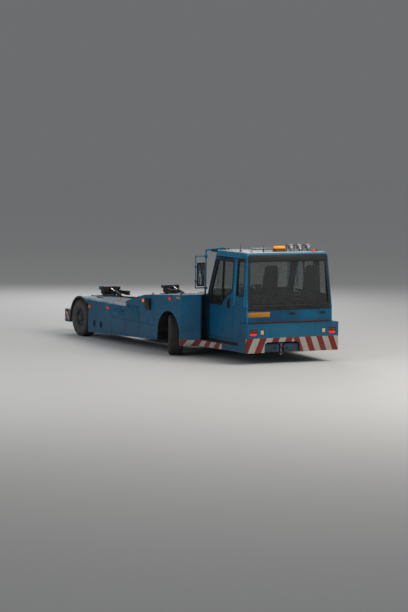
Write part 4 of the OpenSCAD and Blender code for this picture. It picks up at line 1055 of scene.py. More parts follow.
def on_wheels(piece, name, finish, smooth=35, node=None):
    """Copies of a piece, drawn round the origin with -y outwards, on the four wheels."""
    for wheel, (centre, angle) in WHEELS.items():
        turn = Matrix.Translation(centre) @ Matrix.Rotation(math.radians(angle), 4, "Z")
        shown = finish[wheel.split("_")[0]] if isinstance(finish, dict) else finish
        copy = placed(copied(piece, turn), f"{name}_{wheel}", shown, f"wheel_{wheel}", smooth)
        if node:
            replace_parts(copy, f"{node}_{wheel}")
    drop(piece)


def build_tyres():
    """Tyres with a sidewall in steps and five rows of tread blocks."""
    half = [(0.164, 0.2863), (0.164, 0.309), (0.178, 0.331), (0.1895, 0.343), (0.193, 0.349),
            (0.190, 0.356), (0.2035, 0.385), (0.2092, 0.425), (0.2095, 0.465), (0.2065, 0.496),
            (0.2035, 0.500), (0.2035, 0.508), (0.2040, 0.514), (0.1952, 0.5375), (0.184, 0.553),
            (0.150, 0.560), (0.060, 0.562)]
    carcass = turned(half + [(-a, r) for a, r in reversed(half)], ORIGIN, OUT_LEFT, 96)
    blocks = []
    for row, skew in ((0.0, 0.007), (0.078, 0.012), (-0.078, -0.012)):
        low, high = row - 0.028, row + 0.028
        blocks.append(plate([(-0.037, low, 0.555), (0.037 - skew, low, 0.555), (0.037, high, 0.555),
                             (-0.037 + skew, high, 0.555)], (0, 0, 0.0185), 0.002, 1))
    shoulder = [(0.117, 0.552), (0.117, 0.5735), (0.124, 0.5735), (0.160, 0.5655), (0.180, 0.5545),
                (0.193, 0.538), (0.186, 0.534)]
    blocks += [plate([(-0.034 + side * 0.010, side * a, r) for a, r in shoulder], (0.070, 0, 0), 0.002, 1)
               for side in SIDES]
    tread = ring_of(join(blocks), TREAD_PITCHES)
    on_wheels(join([carcass, tread]), "tyre", {"front": TYRE, "rear": DUSTY_TYRE}, 28, "tyre")


def build_wheel_fittings():
    """Wheel nuts, the hub's cover with its bolts, a lock ring and the valve."""
    on_wheels(ring_of(bolt((0, -0.099, 0.133), OUT_LEFT, 0.022), 10), "wheel_nuts", STEEL)
    cover = turned([(0.188, 0.0), (0.188, 0.088), (0.193, 0.088), (0.193, 0.052), (0.202, 0.046),
                    (0.204, 0.0)], ORIGIN, OUT_LEFT)
    small = ring_of(bolt((0, -0.192, 0.070), OUT_LEFT, 0.008), 8)
    on_wheels(join([cover, small]), "hub_cover", IRON)
    lock = turned([(0.166, 0.262), (0.178, 0.264), (0.180, 0.280), (0.177, 0.300), (0.170, 0.303),
                   (0.172, 0.282)], ORIGIN, OUT_LEFT, 64)
    on_wheels(lock, "lock_ring", RIM)
    valve = join([bar((0, -0.135, 0.252), (0, -0.172, 0.238), 0.006, 12, 0.001),
                  bar((0, -0.158, 0.2435), (0, -0.182, 0.2340), 0.009, 12, 0.002)])
    on_wheels(valve, "valve", SEAL)


# Cab: windows, visor, label, wipers, lamps, the mirrors' glass and the roof

PILLAR = 0.085
WIPER_REACH = -0.86


def wide_window(low, high):
    """Outline of a window across the cab, between its corner pillars."""
    inner, upper = side_y(low) - PILLAR, side_y(high) - PILLAR
    return [(-inner, low), (-upper, high), (upper, high), (inner, low)]


END_WINDOW = wide_window(1.60, 2.83)
DECK_WINDOW = wide_window(1.91, 2.83)
QUARTER_WINDOW = [(0.4208, 1.86), (0.82, 1.86), (0.82, 2.81), (0.4320, 2.81)]
DOOR_WINDOW = [(2.25, 1.54), (1.64, 1.54), (1.35, 1.80), (1.05, 1.96), (1.05, 2.79), (1.9393, 2.79),
               (2.25, 1.85)]
POST_LEAN = 0.3107


def build_windows():
    """Rubber frames in every window, the end window's sill, the doors' sliding panes and rear posts."""
    placed(window_frame(on_end, END_WINDOW, 0.047, 0.020), "end_window_frame", SEAL)
    sill = panel(on_end_foot, rectangle(-1.335, 1.482, 1.335, 1.546), 0.008, 0.0, 0.02)
    placed(sill, "end_window_sill", SEAL)
    placed(window_frame(on_deck_wall, DECK_WINDOW, 0.016, 0.020), "deck_window_frame", SEAL)
    on_both(window_frame(on_side, QUARTER_WINDOW, 0.014, 0.018, radius=0.04), "quarter_frame", SEAL)
    on_both(window_frame(on_side, DOOR_WINDOW, 0.016, 0.024, radius=0.04), "door_frame", SEAL, "door_{}")
    divider = panel(on_side, [(1.560, 1.56), (1.625, 1.53), (1.665, 2.80), (1.600, 2.80)],
                    0.030, -0.026, 0.002)
    on_both(divider, "door_divider", SEAL, "door_{}")
    slide = panel(on_side, rectangle(1.64, 1.575, 2.215, 1.60), 0.012, -0.018, 0.002)
    on_both(slide, "door_slide", PLASTIC, "door_{}")
    post_cover = panel(on_side, [(2.290, 1.55), (2.290, 1.855), (2.290 - POST_LEAN, 2.79),
                                 (2.408 - POST_LEAN, 2.79), (2.410, 1.855), (2.410, 1.55)])
    on_both(post_cover, "rear_post_cover", SEAL)


def build_visor():
    """The dark visor over the end window, on brackets, and dark strips over the side windows."""
    board = panel(on_end, [(-1.283, 2.822), (1.283, 2.822), (1.262, 3.005), (-1.262, 3.005)],
                  0.012, 0.012, 0.03, 0.003)
    feet = [block(0.372, 0.335, y, 0.02, 2.86, 2.885) for y in (-1.0, -0.35, 0.35, 1.0)]
    placed([board] + feet, "visor", PLASTIC)
    for name, body, radius, z0, z1, rows in (
            ("window_heads", "chassis", 0.004, 2.870, 2.888,
             [(0.446, 0.840, 0.840, 0.448), (0.980, 1.915, 1.910, 0.980)]),
            ("door_head", "door_{}", 0.006, 2.822, 2.853, [(1.000, 1.925, 1.912, 1.000)]),
            ("quarter_head", "chassis", 0.004, 2.822, 2.870, [(0.436, 0.840, 0.840, 0.440)])):
        on_both([panel(on_side, [(a, z0), (b, z0), (c, z1), (d, z1)], 0.003, 0.0, radius, 0.0008)
                 for a, b, c, d in rows], name, SEAL, body)


def build_end_details():
    """The blank label, wipers with their arms, and a dark reddish-brown strip of painted shade in the gap
    over the bumper.
    """
    label = panel(on_end_foot, rectangle(-1.330, 1.300, -0.640, 1.432), 0.003, 0.0, 0.012)
    placed(label, "end_label", LABEL)
    wipers = []
    for y in (0.10, 1.10):
        middle, far, near = (y + WIPER_REACH * part for part in (0.55, 1, 0.1))
        wipers += [
            panel(on_end_foot, rectangle(y - 0.085, 1.365, y + 0.075, 1.405), 0.030, 0.0, 0.016, 0.004),
            tube([on_end_foot(y, 1.385, 0.040), on_end_foot(y + WIPER_REACH * 0.3, 1.455, 0.062),
                  on_end(middle, 1.575, 0.045)], 0.008, 0.08),
            panel(on_end, rectangle(far, 1.560, near, 1.572), 0.018, 0.010, 0.004),
            panel(on_end, rectangle(far, 1.562, near, 1.568), 0.012, -0.002, 0.002)]
    placed(wipers, "wipers", PLASTIC)
    placed(block(0.205, 0.192, 0, 1.30, 1.128, 1.172, 0.003), "end_gap_shade", GAP_SHADE_BROWN)


LAMP_Z = 0.895
TAIL_LAMP_Y, CLEAR_LAMP_Y = 1.270, 0.990
LAMP_SIZES = {TAIL_LAMP_Y: (0.125, 0.100), CLEAR_LAMP_Y: (0.075, 0.080)}
LAMP_GAP = 0.001


def on_lamp(y, half, z0, z1, out, thick=0.003, radius=0.008):
    """A thin lens or bar on a lamp in the bumper's face."""
    return panel(on_bumper, rectangle(y - half, z0, y + half, z1), thick, out, radius)


def build_lamps():
    """Housings, lenses and lit bars of the four lamps in the bumper."""
    housings, clear, lit, dark = [], [], [], []
    for side in SIDES:
        for y, (half, high) in LAMP_SIZES.items():
            outline = rectangle(side * y - half + LAMP_GAP, LAMP_Z - high + LAMP_GAP,
                                side * y + half - LAMP_GAP, LAMP_Z + high - LAMP_GAP)
            housings.append(window_frame(on_bumper, outline, 0.0, 0.016, -0.0005, 0.028, 0.012))
        y = side * TAIL_LAMP_Y
        housings += [on_lamp(y, 0.11, z, z + 0.010, -0.005, radius=0.003) for z in (0.866, 0.922)]
        lit.append(on_lamp(y, 0.106, 0.814, 0.862, -0.0055))
        dark += [on_lamp(y, 0.106, z, z + 0.038, -0.0055) for z in (0.880, 0.936)]
        y = side * CLEAR_LAMP_Y
        clear.append(on_lamp(y, 0.050, 0.838, 0.952, -0.0052))
        housings.append(on_lamp(y, 0.068, 0.822, 0.968, -0.0056, 0.002, 0.010))
    placed(housings, "lamp_housings", PLASTIC)
    placed(lit, "tail_lights_lit", RED_LIT)
    placed(dark, "tail_lights", RED_LENS)
    placed(clear, "reverse_lights", CLEAR)


MIRROR_T, MIRROR_Y = 2.560, -1.525


def build_mirror_faces():
    """Glass on the mirror heads' flat faces."""
    outline = [(at(MIRROR_T) + 0.040, y, z) for y, z in rectangle(MIRROR_Y - 0.088, 2.03,
                                                                  MIRROR_Y + 0.088, 2.64)]
    on_both(plate(rounded(outline, 0.05, 6), (0.004, 0, 0), 0.001), "mirror_glass", MIRROR)


ROOF_LAMP_T = 0.800
WORK_LAMP_Z = 3.182
RAIL_Z, RAIL_SHIFT = 3.225, 0.060


def build_roof_lamps():
    """Round work lamps facing both ways, their rail, the antennas and the red roof lamp."""
    shells, rims, lenses, feet = [], [], [], []
    bowl = [(0.044, 0.0), (0.044, 0.066), (0.036, 0.070), (0.010, 0.060), (0.0, 0.040), (0.0, 0.0)]
    rim = [(0.040, 0.060), (0.048, 0.060), (0.050, 0.066), (0.048, 0.073), (0.038, 0.073)]
    face = [(0.040, 0.0), (0.047, 0.0), (0.044, 0.040), (0.041, 0.062), (0.040, 0.062)]
    x = at(ROOF_LAMP_T)
    for y in (0.360, 0.640, 0.920):
        for way in SIDES:
            for made, profile in ((shells, bowl), (rims, rim), (lenses, face)):
                made.append(turned(profile, (x, y, WORK_LAMP_Z), (way, 0, 0), 36))
        feet += [box((x - 0.022, y - 0.026, CROWN_Z), (x + 0.022, y + 0.026, 3.068), 0.002),
                 post(ROOF_LAMP_T, y, 3.062, 3.118, 0.013)]
        shells.append(tube([(x - 0.03, y + 0.03, 3.13), (x - 0.08, y + 0.05, 3.10),
                            (x - 0.09, y + 0.06, 3.066), (x - 0.16, y + 0.06, 3.066)], 0.005, 0.03))
    x -= RAIL_SHIFT
    feet.append(bar((x, 0.245, RAIL_Z), (x, 1.035, RAIL_Z), 0.011, 20, 0.003))
    feet += [bar((x, y, CROWN_Z), (x, y, RAIL_Z), 0.009, 16) for y in (0.255, 0.500, 0.780, 1.025)]
    for t, y, height in ((1.01, -1.13, 0.220), (0.70, -0.58, 0.180)):
        feet += [post(t, y, CROWN_Z, CROWN_Z + 0.030, 0.028, 24, 0.005),
                 post(t, y, CROWN_Z + 0.025, CROWN_Z + 0.085, 0.011, 16, 0.003),
                 post(t, y, CROWN_Z + 0.08, CROWN_Z + height, 0.005, 12)]
    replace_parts(placed(shells, "work_lamp_shells", STEEL), "roof_gear")
    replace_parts(placed(feet, "roof_rail_and_antennas", FRAME), "roof_gear")
    placed(rims, "work_lamp_rims", CHROME)
    placed(lenses, "work_lamp_lenses", WORK_LENS)
    red = box((at(0.553), 0.882, CROWN_Z + 0.008), (at(0.487), 0.998, CROWN_Z + 0.043), 0.008, 3)
    placed(red, "roof_red_lens", RED_LIT)


BEACON_Y, BEACON_HALF = -0.015, 0.115


def beacon_plate(z, radius, thick, edge, steps=14):
    """A level plate with round ends under the beacon."""
    outline = []
    for side, start in ((1, 0), (-1, math.pi)):
        turns = [start + math.pi * i / steps for i in range(steps + 1)]
        outline += [(at(ROOF_LAMP_T) + radius * math.cos(turn),
                     BEACON_Y + side * BEACON_HALF + radius * math.sin(turn), z) for turn in turns]
    return plate(outline, (0, 0, thick), edge)


def build_beacon():
    """The beacon's amber foot, its mounts and bolts, and the red lamp's holder."""
    placed([beacon_plate(CROWN_Z, 0.082, 0.030, 0.006), beacon_plate(CROWN_Z + 0.030, 0.079, 0.012, 0.004)],
           "beacon_foot", BEACON_FOOT)
    x, z = at(ROOF_LAMP_T), CROWN_Z + 0.012
    mounts = [box((x - 0.035, y - 0.035, CROWN_Z), (x + 0.035, y + 0.035, z)) for y in (-0.195, 0.165)]
    mounts.append(box((at(0.565), 0.872, CROWN_Z - 0.001), (at(0.480), 1.008, CROWN_Z + 0.014)))
    placed(mounts, "roof_feet", PLASTIC)
    placed([bolt((x + dx, y, z), UP, 0.007) for dx in (-0.022, 0.022) for y in (-0.218, 0.188)],
           "beacon_bolts", STEEL)


def build_roof_edges():
    """The round moulding that runs over the cab's side edges and down its corners, in painted highlight blue.
    """
    path = [(2.050, side_y(2.90) - 0.012, 2.900), (1.975, 1.262, 3.022), (0.500, 1.262, 3.022),
            (0.385, side_y(2.88) - 0.016, 2.880), (0.222, side_y(1.56) - 0.016, 1.560),
            (0.212, CAB_HALF_WIDTH - 0.014, 1.130)]
    edge = tube([(at(t), -y, z) for t, y, z in path], 0.022, 0.10, 5)
    on_both(edge, "cab_edges_highlighted", HIGHLIGHT_AND_TRIM_BLUE, smooth=60)


def build_roof_seams():
    """Raised seams, a gutter along each side, the hatch and lifting eyes of the roof."""
    z = CROWN_Z - 0.002
    seams = [box((at(2.02), -1.262, z), (at(0.42), -1.250, CROWN_Z + 0.006), 0.002),
             box((at(2.02), 1.250, z), (at(0.42), 1.262, CROWN_Z + 0.006), 0.002),
             block(1.48, 1.462, 0, 1.18, z, CROWN_Z + 0.005, 0.002),
             block(1.98, 1.55, 0, 0.33, CROWN_Z, CROWN_Z + 0.022, 0.010),
             block(1.94, 1.59, 0, 0.29, CROWN_Z + 0.02, CROWN_Z + 0.034, 0.010)]
    placed(seams, "roof_seams", ROOF)
    eyes = []
    for x, y in ((at(t), y) for t in (0.60, 1.90) for y in (-1.02, 1.08)):
        eyes += [box((x - 0.045, y - 0.03, CROWN_Z), (x + 0.045, y + 0.03, CROWN_Z + 0.008), 0.002),
                 staple((x, y, CROWN_Z + 0.006), (0.03, 0, 0), 0.039, 0.007, 0.022)]
    placed(eyes, "roof_eyes", FRAME)


# Body and arms: seams, flanges, hatches, footholds, sheets and hoses

SHEET_SEAM_Z = 0.780
HATCH_SEAM_T = 5.005
BODY_END_T = 5.900
FLANGE_T, FLANGE_BOLT_Z, FLANGE_FALL = 3.96, 0.405, 0.0418


def band(face, start, end, width, thick=0.002):
    """A narrow straight band between two points of a face."""
    start, end = Vector(start), Vector(end)
    side = (end - start).normalized() * width / 2
    side = Vector((-side.y, side.x))
    corners = [start - side, end - side, end + side, start + side]
    return panel(face, [tuple(p) for p in corners], thick, 0.0, 0.002, 0.0005)


def build_body_seams():
    """Dark joints between the body's sheets and the flange along its lower edge."""
    joints = [band(on_body, (3.93, SHEET_SEAM_Z), (6.82, SHEET_SEAM_Z), 0.010, 0.0015)]
    joints += [band(on_body, (t, low), (t, high), width, thick) for t, low, high, width, thick in (
        (HATCH_SEAM_T, 0.500, 1.080, 0.016, 0.0015), (HATCH_SEAM_T, 1.090, 1.500, 0.006, 0.0010),
        (BODY_END_T, 0.330, 1.200, 0.009, 0.0012), (6.820, 0.330, 1.170, 0.006, 0.0012),
        (2.720, 0.560, 1.560, 0.006, 0.0010))]
    on_both(joints, "body_joints", SEAL)
    flange = panel(on_body, [(3.90, 0.384), (8.395, 0.196), (8.395, 0.262), (3.90, 0.450)],
                   0.008, 0.0, 0.006, 0.002)
    on_both(flange, "sill_flange", BODY)
    bolts = [bolt(on_body(t, FLANGE_BOLT_Z - (t - FLANGE_T) * FLANGE_FALL, 0.008), OUT_LEFT, 0.009)
             for t in [4.0 + 0.33 * i for i in range(14)]]
    on_both(bolts, "flange_bolts", STEEL)


HATCHES = [(5.08, 5.82, 0.84, 1.24), (6.02, 6.70, 0.84, 1.06)]


def latch(t, z):
    """A flush latch on a hatch: a dark dish with its bar."""
    return [panel(on_body, rectangle(t - 0.045, z - 0.024, t + 0.045, z + 0.024), 0.003, 0.005, 0.020),
            panel(on_body, rectangle(t - 0.036, z - 0.007, t + 0.030, z + 0.007), 0.010, 0.005, 0.006, 0.002)]


def build_hatches():
    """Raised covers on the body's and the arms' sides with joints, hinges and latches."""
    covers, gaps, locks, pins = [], [], [], []
    for t0, t1, z0, z1 in HATCHES:
        outline = rectangle(t0, z0, t1, z1)
        covers.append(panel(on_body, outline, 0.005, 0.0, 0.025, 0.002))
        gaps.append(panel(on_body, grown(outline, 0.007), 0.0012, 0.0, 0.030, 0.0004))
        for t in (t0 + 0.10, t1 - 0.10):
            locks += latch(t, z1 - 0.050)
        pins += [bar(on_body(t - 0.035, z0 + 0.004, 0.008), on_body(t + 0.035, z0 + 0.004, 0.008), 0.006, 12)
                 for t in (t0 + 0.08, t1 - 0.08)]
    on_both(covers, "hatch_covers", BODY)
    on_both(gaps, "hatch_joints", SEAL)
    on_both(locks, "hatch_latches", PLASTIC)
    on_both(pins, "hatch_hinges", STEEL)
    slots = [panel(on_body, rectangle(6.12, z, 6.60, z + 0.012), 0.006, 0.0, 0.005, 0.002)
             for z in (1.085, 1.110, 1.135)]
    on_both(slots, "side_louvres", BODY)


MARKERS = [(8.34, 0.98), (7.08, 1.04), (3.13, 1.62), (4.76, 1.44)]


def build_side_plates():
    """The blank beige plate by the deck and the markers' rubber rims."""
    on_both(panel(on_body, rectangle(2.515, 1.650, 2.760, 1.705), 0.003), "side_plate", PLATE)
    rims = [window_frame(on_body, rectangle(t - 0.076, z - 0.046, t + 0.076, z + 0.046),
                         0.010, -0.001, 0.007, 0.0, 0.008) for t, z in MARKERS]
    on_both(rims, "marker_rims", SEAL)


def build_footholds():
    """Rims and gripping bars in the arms' footholds."""
    rims, grips = [], []
    for t in (7.55, 8.00):
        rims.append(window_frame(on_body, rectangle(t - 0.061, 0.399, t + 0.061, 0.571),
                                 0.014, 0.0, 0.005, 0.0, 0.008))
        grips.append(box((at(t + 0.058), -2.185, 0.402), (at(t - 0.058), -2.152, 0.412), 0.002))
        grips += [box((at(t - x) - 0.006, -2.184, 0.411), (at(t - x) + 0.006, -2.154, 0.419), 0.001)
                  for x in (-0.042, -0.014, 0.014, 0.042)]
    on_both(rims, "foothold_rims", SEAL)
    on_both(grips, "foothold_grips", STEEL)


LIP_RADIUS, LIP_END_Z, LIP_FACE_Y = 0.636, 0.545, -2.178


def build_fender_lips():
    """Rubber lips round the fenders' outer edges, bolted on."""
    x = at(REAR_AXLE_T)
    lip = turned([(-0.019, 0.600), (0.019, 0.604), (0.019, 0.668), (-0.019, 0.668)],
                 (x, -2.159, HUB_Z), OUT_LEFT, 96)
    pick_faces(lip, lambda face: face.center.z < LIP_END_Z)
    bpy.ops.mesh.delete(type="FACE")
    on_both(modify(lip, "SOLIDIFY", thickness=0.002), "fender_lip", SEAL)
    turns = [math.radians(6 + 14 * i) for i in range(13)]
    heads = [bolt((x + LIP_RADIUS * math.cos(turn), LIP_FACE_Y, HUB_Z + LIP_RADIUS * math.sin(turn)),
                  OUT_LEFT, 0.007) for turn in turns]
    on_both(heads, "fender_bolts", STEEL)


TIE_RING_Y = -2.05


def build_arm_tops():
    """Anti-slip sheets, tie rings, and hoses in their clips on the arms' tops."""
    sheets = [panel(on_arm, [(6.02, -1.97), (6.02, -0.86), (8.36, -0.86), (8.36, -1.97)], 0.003, 0.0, 0.03),
              panel(on_arm, rectangle(9.03, -1.56, 9.37, -0.86), 0.003, 0.0, 0.03)]
    on_both(sheets, "arm_sheets", MAT)
    rings, bases = [], []
    for t in (6.35, 7.35, 8.25):
        bases.append(block(t + 0.04, t - 0.04, TIE_RING_Y, 0.04, ARM_TOP_Z - 0.001, ARM_TOP_Z + 0.008, 0.002))
        rings.append(staple((at(t), TIE_RING_Y, ARM_TOP_Z + 0.006), (0.022, 0, 0), 0.030, 0.006, 0.018))
    on_both(rings + bases, "arm_tie_rings", STEEL)
    hoses = []
    for y, z, r in ((-0.905, 1.254, 0.020), (-0.950, 1.250, 0.016), (-0.990, 1.247, 0.013)):
        inner = -1.05 + y * 0.05
        hoses.append(tube([(at(5.96), y, z), (at(6.90), y, z), (at(7.90), y + 0.02, z),
                           (at(8.28), inner, z), (at(8.38), inner, z + 0.02)], r, 0.10, 6))
    clips = [block(t + 0.02, t - 0.02, -0.945, 0.075, ARM_TOP_Z + low, ARM_TOP_Z + high, 0.002)
             for t in (6.15, 6.75, 7.35, 7.95) for low, high in ((0, 0.012), (0.038, 0.048))]
    on_both(hoses, "arm_hoses", SEAL)
    on_both(clips, "hose_clips", FRAME)


def build_arm_ends():
    """Black frames with rubber bars on the arm ends' bumpers, and their lamps."""
    guards = [box((at(10.168), -2.10, 0.540), (at(10.150), -0.98, 0.600), 0.008),
              box((at(10.100), -2.194, 0.700), (at(9.83), -2.180, 0.768))]
    guards += [box((at(10.165), -2.12, low), (at(10.10), -0.95, high), 0.006)
               for low, high in ((0.740, 0.772), (0.382, 0.410))]
    guards += [block(10.168, 10.120, y, 0.020, 0.395, 0.760, 0.005) for y in (-2.10, -0.97)]
    on_both(guards, "arm_end_guards", BLACK)
    red = box((at(10.168), -1.86, 0.640), (at(10.150), -1.70, 0.700), 0.006)
    on_both(red, "arm_end_lights", RED_LENS)


# Clamps and cradle

CLAMP_Y, CLAMP_ARM_Y, SWING_PIN_T, TOWER_TOP_Z = 1.1, 0.83, 9.17, 1.510
CRADLE_T = 6.20


def build_clamp_details():
    """Bolts, cover plates, blue blocks, rubber pads and ribs of the clamps."""
    for side, label in SIDE_NAMES.items():
        tower, arm = f"clamp_tower_{label}", f"clamp_arm_{label}"
        y = side * CLAMP_Y
        top = block(9.358, 9.105, y, 0.205, TOWER_TOP_Z - 0.008, TOWER_TOP_Z, 0.003)
        placed(top, f"tower_tops_{label}", BLACK, tower)
        heads = [bolt((at(t), y + e, TOWER_TOP_Z), UP) for t in (9.13, 9.33) for e in (-0.17, 0.17)]
        heads += [bolt((at(t), y + side * 0.215, z), (0, side, 0))
                  for t, z in ((9.15, 1.40), (9.32, 1.40), (9.20, 1.30))]
        placed(block(9.560, 9.362, y, 0.20, 1.388, 1.496, 0.010), f"tower_blocks_{label}", HIGHLIGHT_AND_TRIM_BLUE, tower)
        placed(heads, f"tower_bolts_{label}", STEEL, tower)
        x, y = at(SWING_PIN_T), side * CLAMP_ARM_Y
        pads = [box((x + 0.575, y - 0.050, 1.300), (x + 0.765, y + 0.050, 1.402), 0.012)]
        pads += [box((x + 0.585 + d, y - 0.058, 1.308), (x + 0.610 + d, y + 0.058, 1.394), 0.006)
                 for d in (0.0, 0.06, 0.12)]
        placed(pads, f"arm_pads_{label}", SEAL, arm)
        ribs = [box((x + 0.06, y - 0.036, z), (x + 0.56, y + 0.036, z + 0.012), 0.003)
                for z in (1.300, 1.392)]
        placed(ribs, f"arm_ribs_{label}", BLACK, arm)


def build_cradle_details():
    """Tread plate, rubber stops and ribs of the cradle."""
    tread = block(CRADLE_T + 1.36, CRADLE_T + 0.36, 0, 0.67, 0.189, 0.194, 0.001)
    placed(tread, "cradle_tread", MAT, "cradle")
    foot, head = at(CRADLE_T + 0.197), at(CRADLE_T + 0.177)
    stops = [plate([(foot, y - 0.17, 0.330), (foot, y + 0.17, 0.330), (head, y + 0.17, 0.640),
                    (head, y - 0.17, 0.640)], (-0.035, 0, -0.006), 0.008) for y in (-0.36, 0.36)]
    placed(stops, "cradle_stops", SEAL, "cradle")
    ribs = [block(CRADLE_T + t + 0.012, CRADLE_T + t - 0.012, side * 0.690, 0.012, 0.190, 0.250, 0.002)
            for side in SIDES for t in (0.32, 0.62, 0.92, 1.22)]
    placed(ribs, "cradle_ribs", BLACK, "cradle")


# Cab's outside: carved bumper, notch, skirts, sides, gap and mirrors' brackets

BUMPER_HALF = 1.46
FLAT_ANGLE = 0.3
CUT_OUT_PLATES = [(-0.895, -0.425), (-0.265, 0.205)]
TOW_PIN_T, TOW_PIN_Y = 0.07, -0.345
SOCKET_Z, LEDGE_Z = 0.455, 0.500
SKIRT_T, SKIRT_FLARE = 0.45, 0.105


def build_carved_bumper():
    """The bumper with grooves in its face, carved from a copy of its solid."""
    carved = copied(nodes["bumper"], Matrix.Identity(4))
    carved.modifiers.clear()
    for key in list(carved.keys()):
        del carved[key]
    edit_all(carved)
    bpy.ops.mesh.remove_doubles(threshold=MERGE_DISTANCE)
    bpy.ops.mesh.dissolve_limited(angle_limit=math.radians(FLAT_ANGLE))
    bpy.ops.object.mode_set(mode="OBJECT")
    bpy.ops.object.parent_clear(type="CLEAR_KEEP_TRANSFORM")
    place_in_mesh()
    x = CAB_FACE_X
    for depth, y0, y1, z0, z1 in (
            (0.005, -0.765, -0.755, 0.780, 1.088), (0.005, 0.715, 0.725, 0.780, 1.088),
            (0.005, -BUMPER_HALF, BUMPER_HALF, 1.086, 1.092),
            (0.004, -BUMPER_HALF, -0.955, 0.742, 0.747), (0.004, 0.265, BUMPER_HALF, 0.742, 0.747)):
        cut(carved, box((x - depth, y0, z0), (x + 0.05, y1, z1), 0.001))
    round_edges(carved, 0.010, 3, 40)
    placed(carved, "bumper_shell", BUMPER)
    # Painted highlight along the bumper's upper edges.
    repaint(carved, HIGHLIGHT_AND_TRIM_BLUE, bright_top)
    modify(carved, "WEIGHTED_NORMAL", weight=100, keep_sharp=True)
    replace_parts(carved, "bumper")
    placed([bolt((at(t), side * 1.490, z), (0, side, 0), 0.011)
            for side in SIDES for t in (0.12, 0.36) for z in (0.60, 1.02)], "bumper_bolts", STEEL)


def build_notch():
    """Plates in the recess darkened as painted shade, with dust and wear, a black wall of painted shade
    behind them, the tow pin with its ring, and two sockets in the bumper's cut-out.
    """
    plates = []
    for y0, y1 in CUT_OUT_PLATES:
        outline = [(at(0.052), y, z) for y, z in rectangle(y0, 0.345, y1, 0.560)]
        plates.append(plate(outline, (-0.012, 0, 0), 0.004))
        plates += [box((at(0.178), y, 0.350), (at(0.056), y + 0.012, 0.556), 0.003)
                   for y in (y0 + 0.05, (y0 + y1) / 2, y1 - 0.06)]
        plates.append(box((at(0.178), y0, 0.560), (at(0.036), y1, 0.572)))
    placed(plates, "notch_plates", NOTCH_SHADE)
    # Painted shade: a black wall at the back of the cut-out.
    placed(box((at(0.182), -0.905, 0.366), (at(0.174), 0.215, 0.600), 0.002), "notch_shade_wall", BLACK)
    pin = [post(TOW_PIN_T, TOW_PIN_Y, 0.262, 0.560, 0.022, 24, 0.006),
           post(TOW_PIN_T, TOW_PIN_Y, 0.510, 0.522, 0.040, 24, 0.003),
           staple((at(TOW_PIN_T), TOW_PIN_Y, 0.552), (0, 0.045, 0), 0.026, 0.008, 0.02)]
    placed(pin, "tow_pin", STEEL)
    plugs = [bar((at(back), y, SOCKET_Z), (at(front), y, SOCKET_Z), radius, 24, edge)
             for back, front, radius, edge in ((0.054, 0.030, 0.030, 0.004), (0.034, 0.026, 0.036, 0.003))
             for y in (-0.53, -0.16)]
    placed(plugs, "air_and_power_sockets", PLASTIC)


def build_skirt_details():
    """The tread ledge over the skirts, dark as partly painted shade, a long black plate of painted shade
    below the door, and the skirts' brackets and bolts.
    """
    ledge = plate([(at(t), y, LEDGE_Z) for t, y in ((0.455, -1.380), (0.455, -1.482), (2.245, -1.672),
                                                  (2.470, -2.080), (2.470, -1.380))], (0, 0, 0.012), 0.002)
    on_both(ledge, "skirt_ledge", MAT)
    # Painted shade: a long black plate between the cab's foot and the skirts.
    shade_and_brackets = [box((at(0.46), -1.385, 0.366), (at(2.42), -1.365, 0.556), 0.003)]
    for t in (0.75, 1.35, 1.95):
        outline = [(at(t), -1.38, 0.496), (at(t), -1.44 - (t - SKIRT_T) * SKIRT_FLARE, 0.496),
                   (at(t), -1.38, 0.366)]
        shade_and_brackets.append(plate(outline, (0.012, 0, 0), 0.002))
    on_both(shade_and_brackets, "skirt_brackets_and_shade", BLACK)
    start = Vector((at(SKIRT_T), -1.49))
    run = Vector((at(2.25), -1.68)) - start
    out = Vector((-run.y, run.x)).normalized()
    spots = [start + run * (0.06 + 0.147 * i) for i in range(7)]
    bolts = [bolt((spot.x, spot.y, z), (out.x, out.y, 0), 0.009) for spot in spots for z in (0.375, 0.465)]
    on_both(bolts, "skirt_bolts", STEEL)


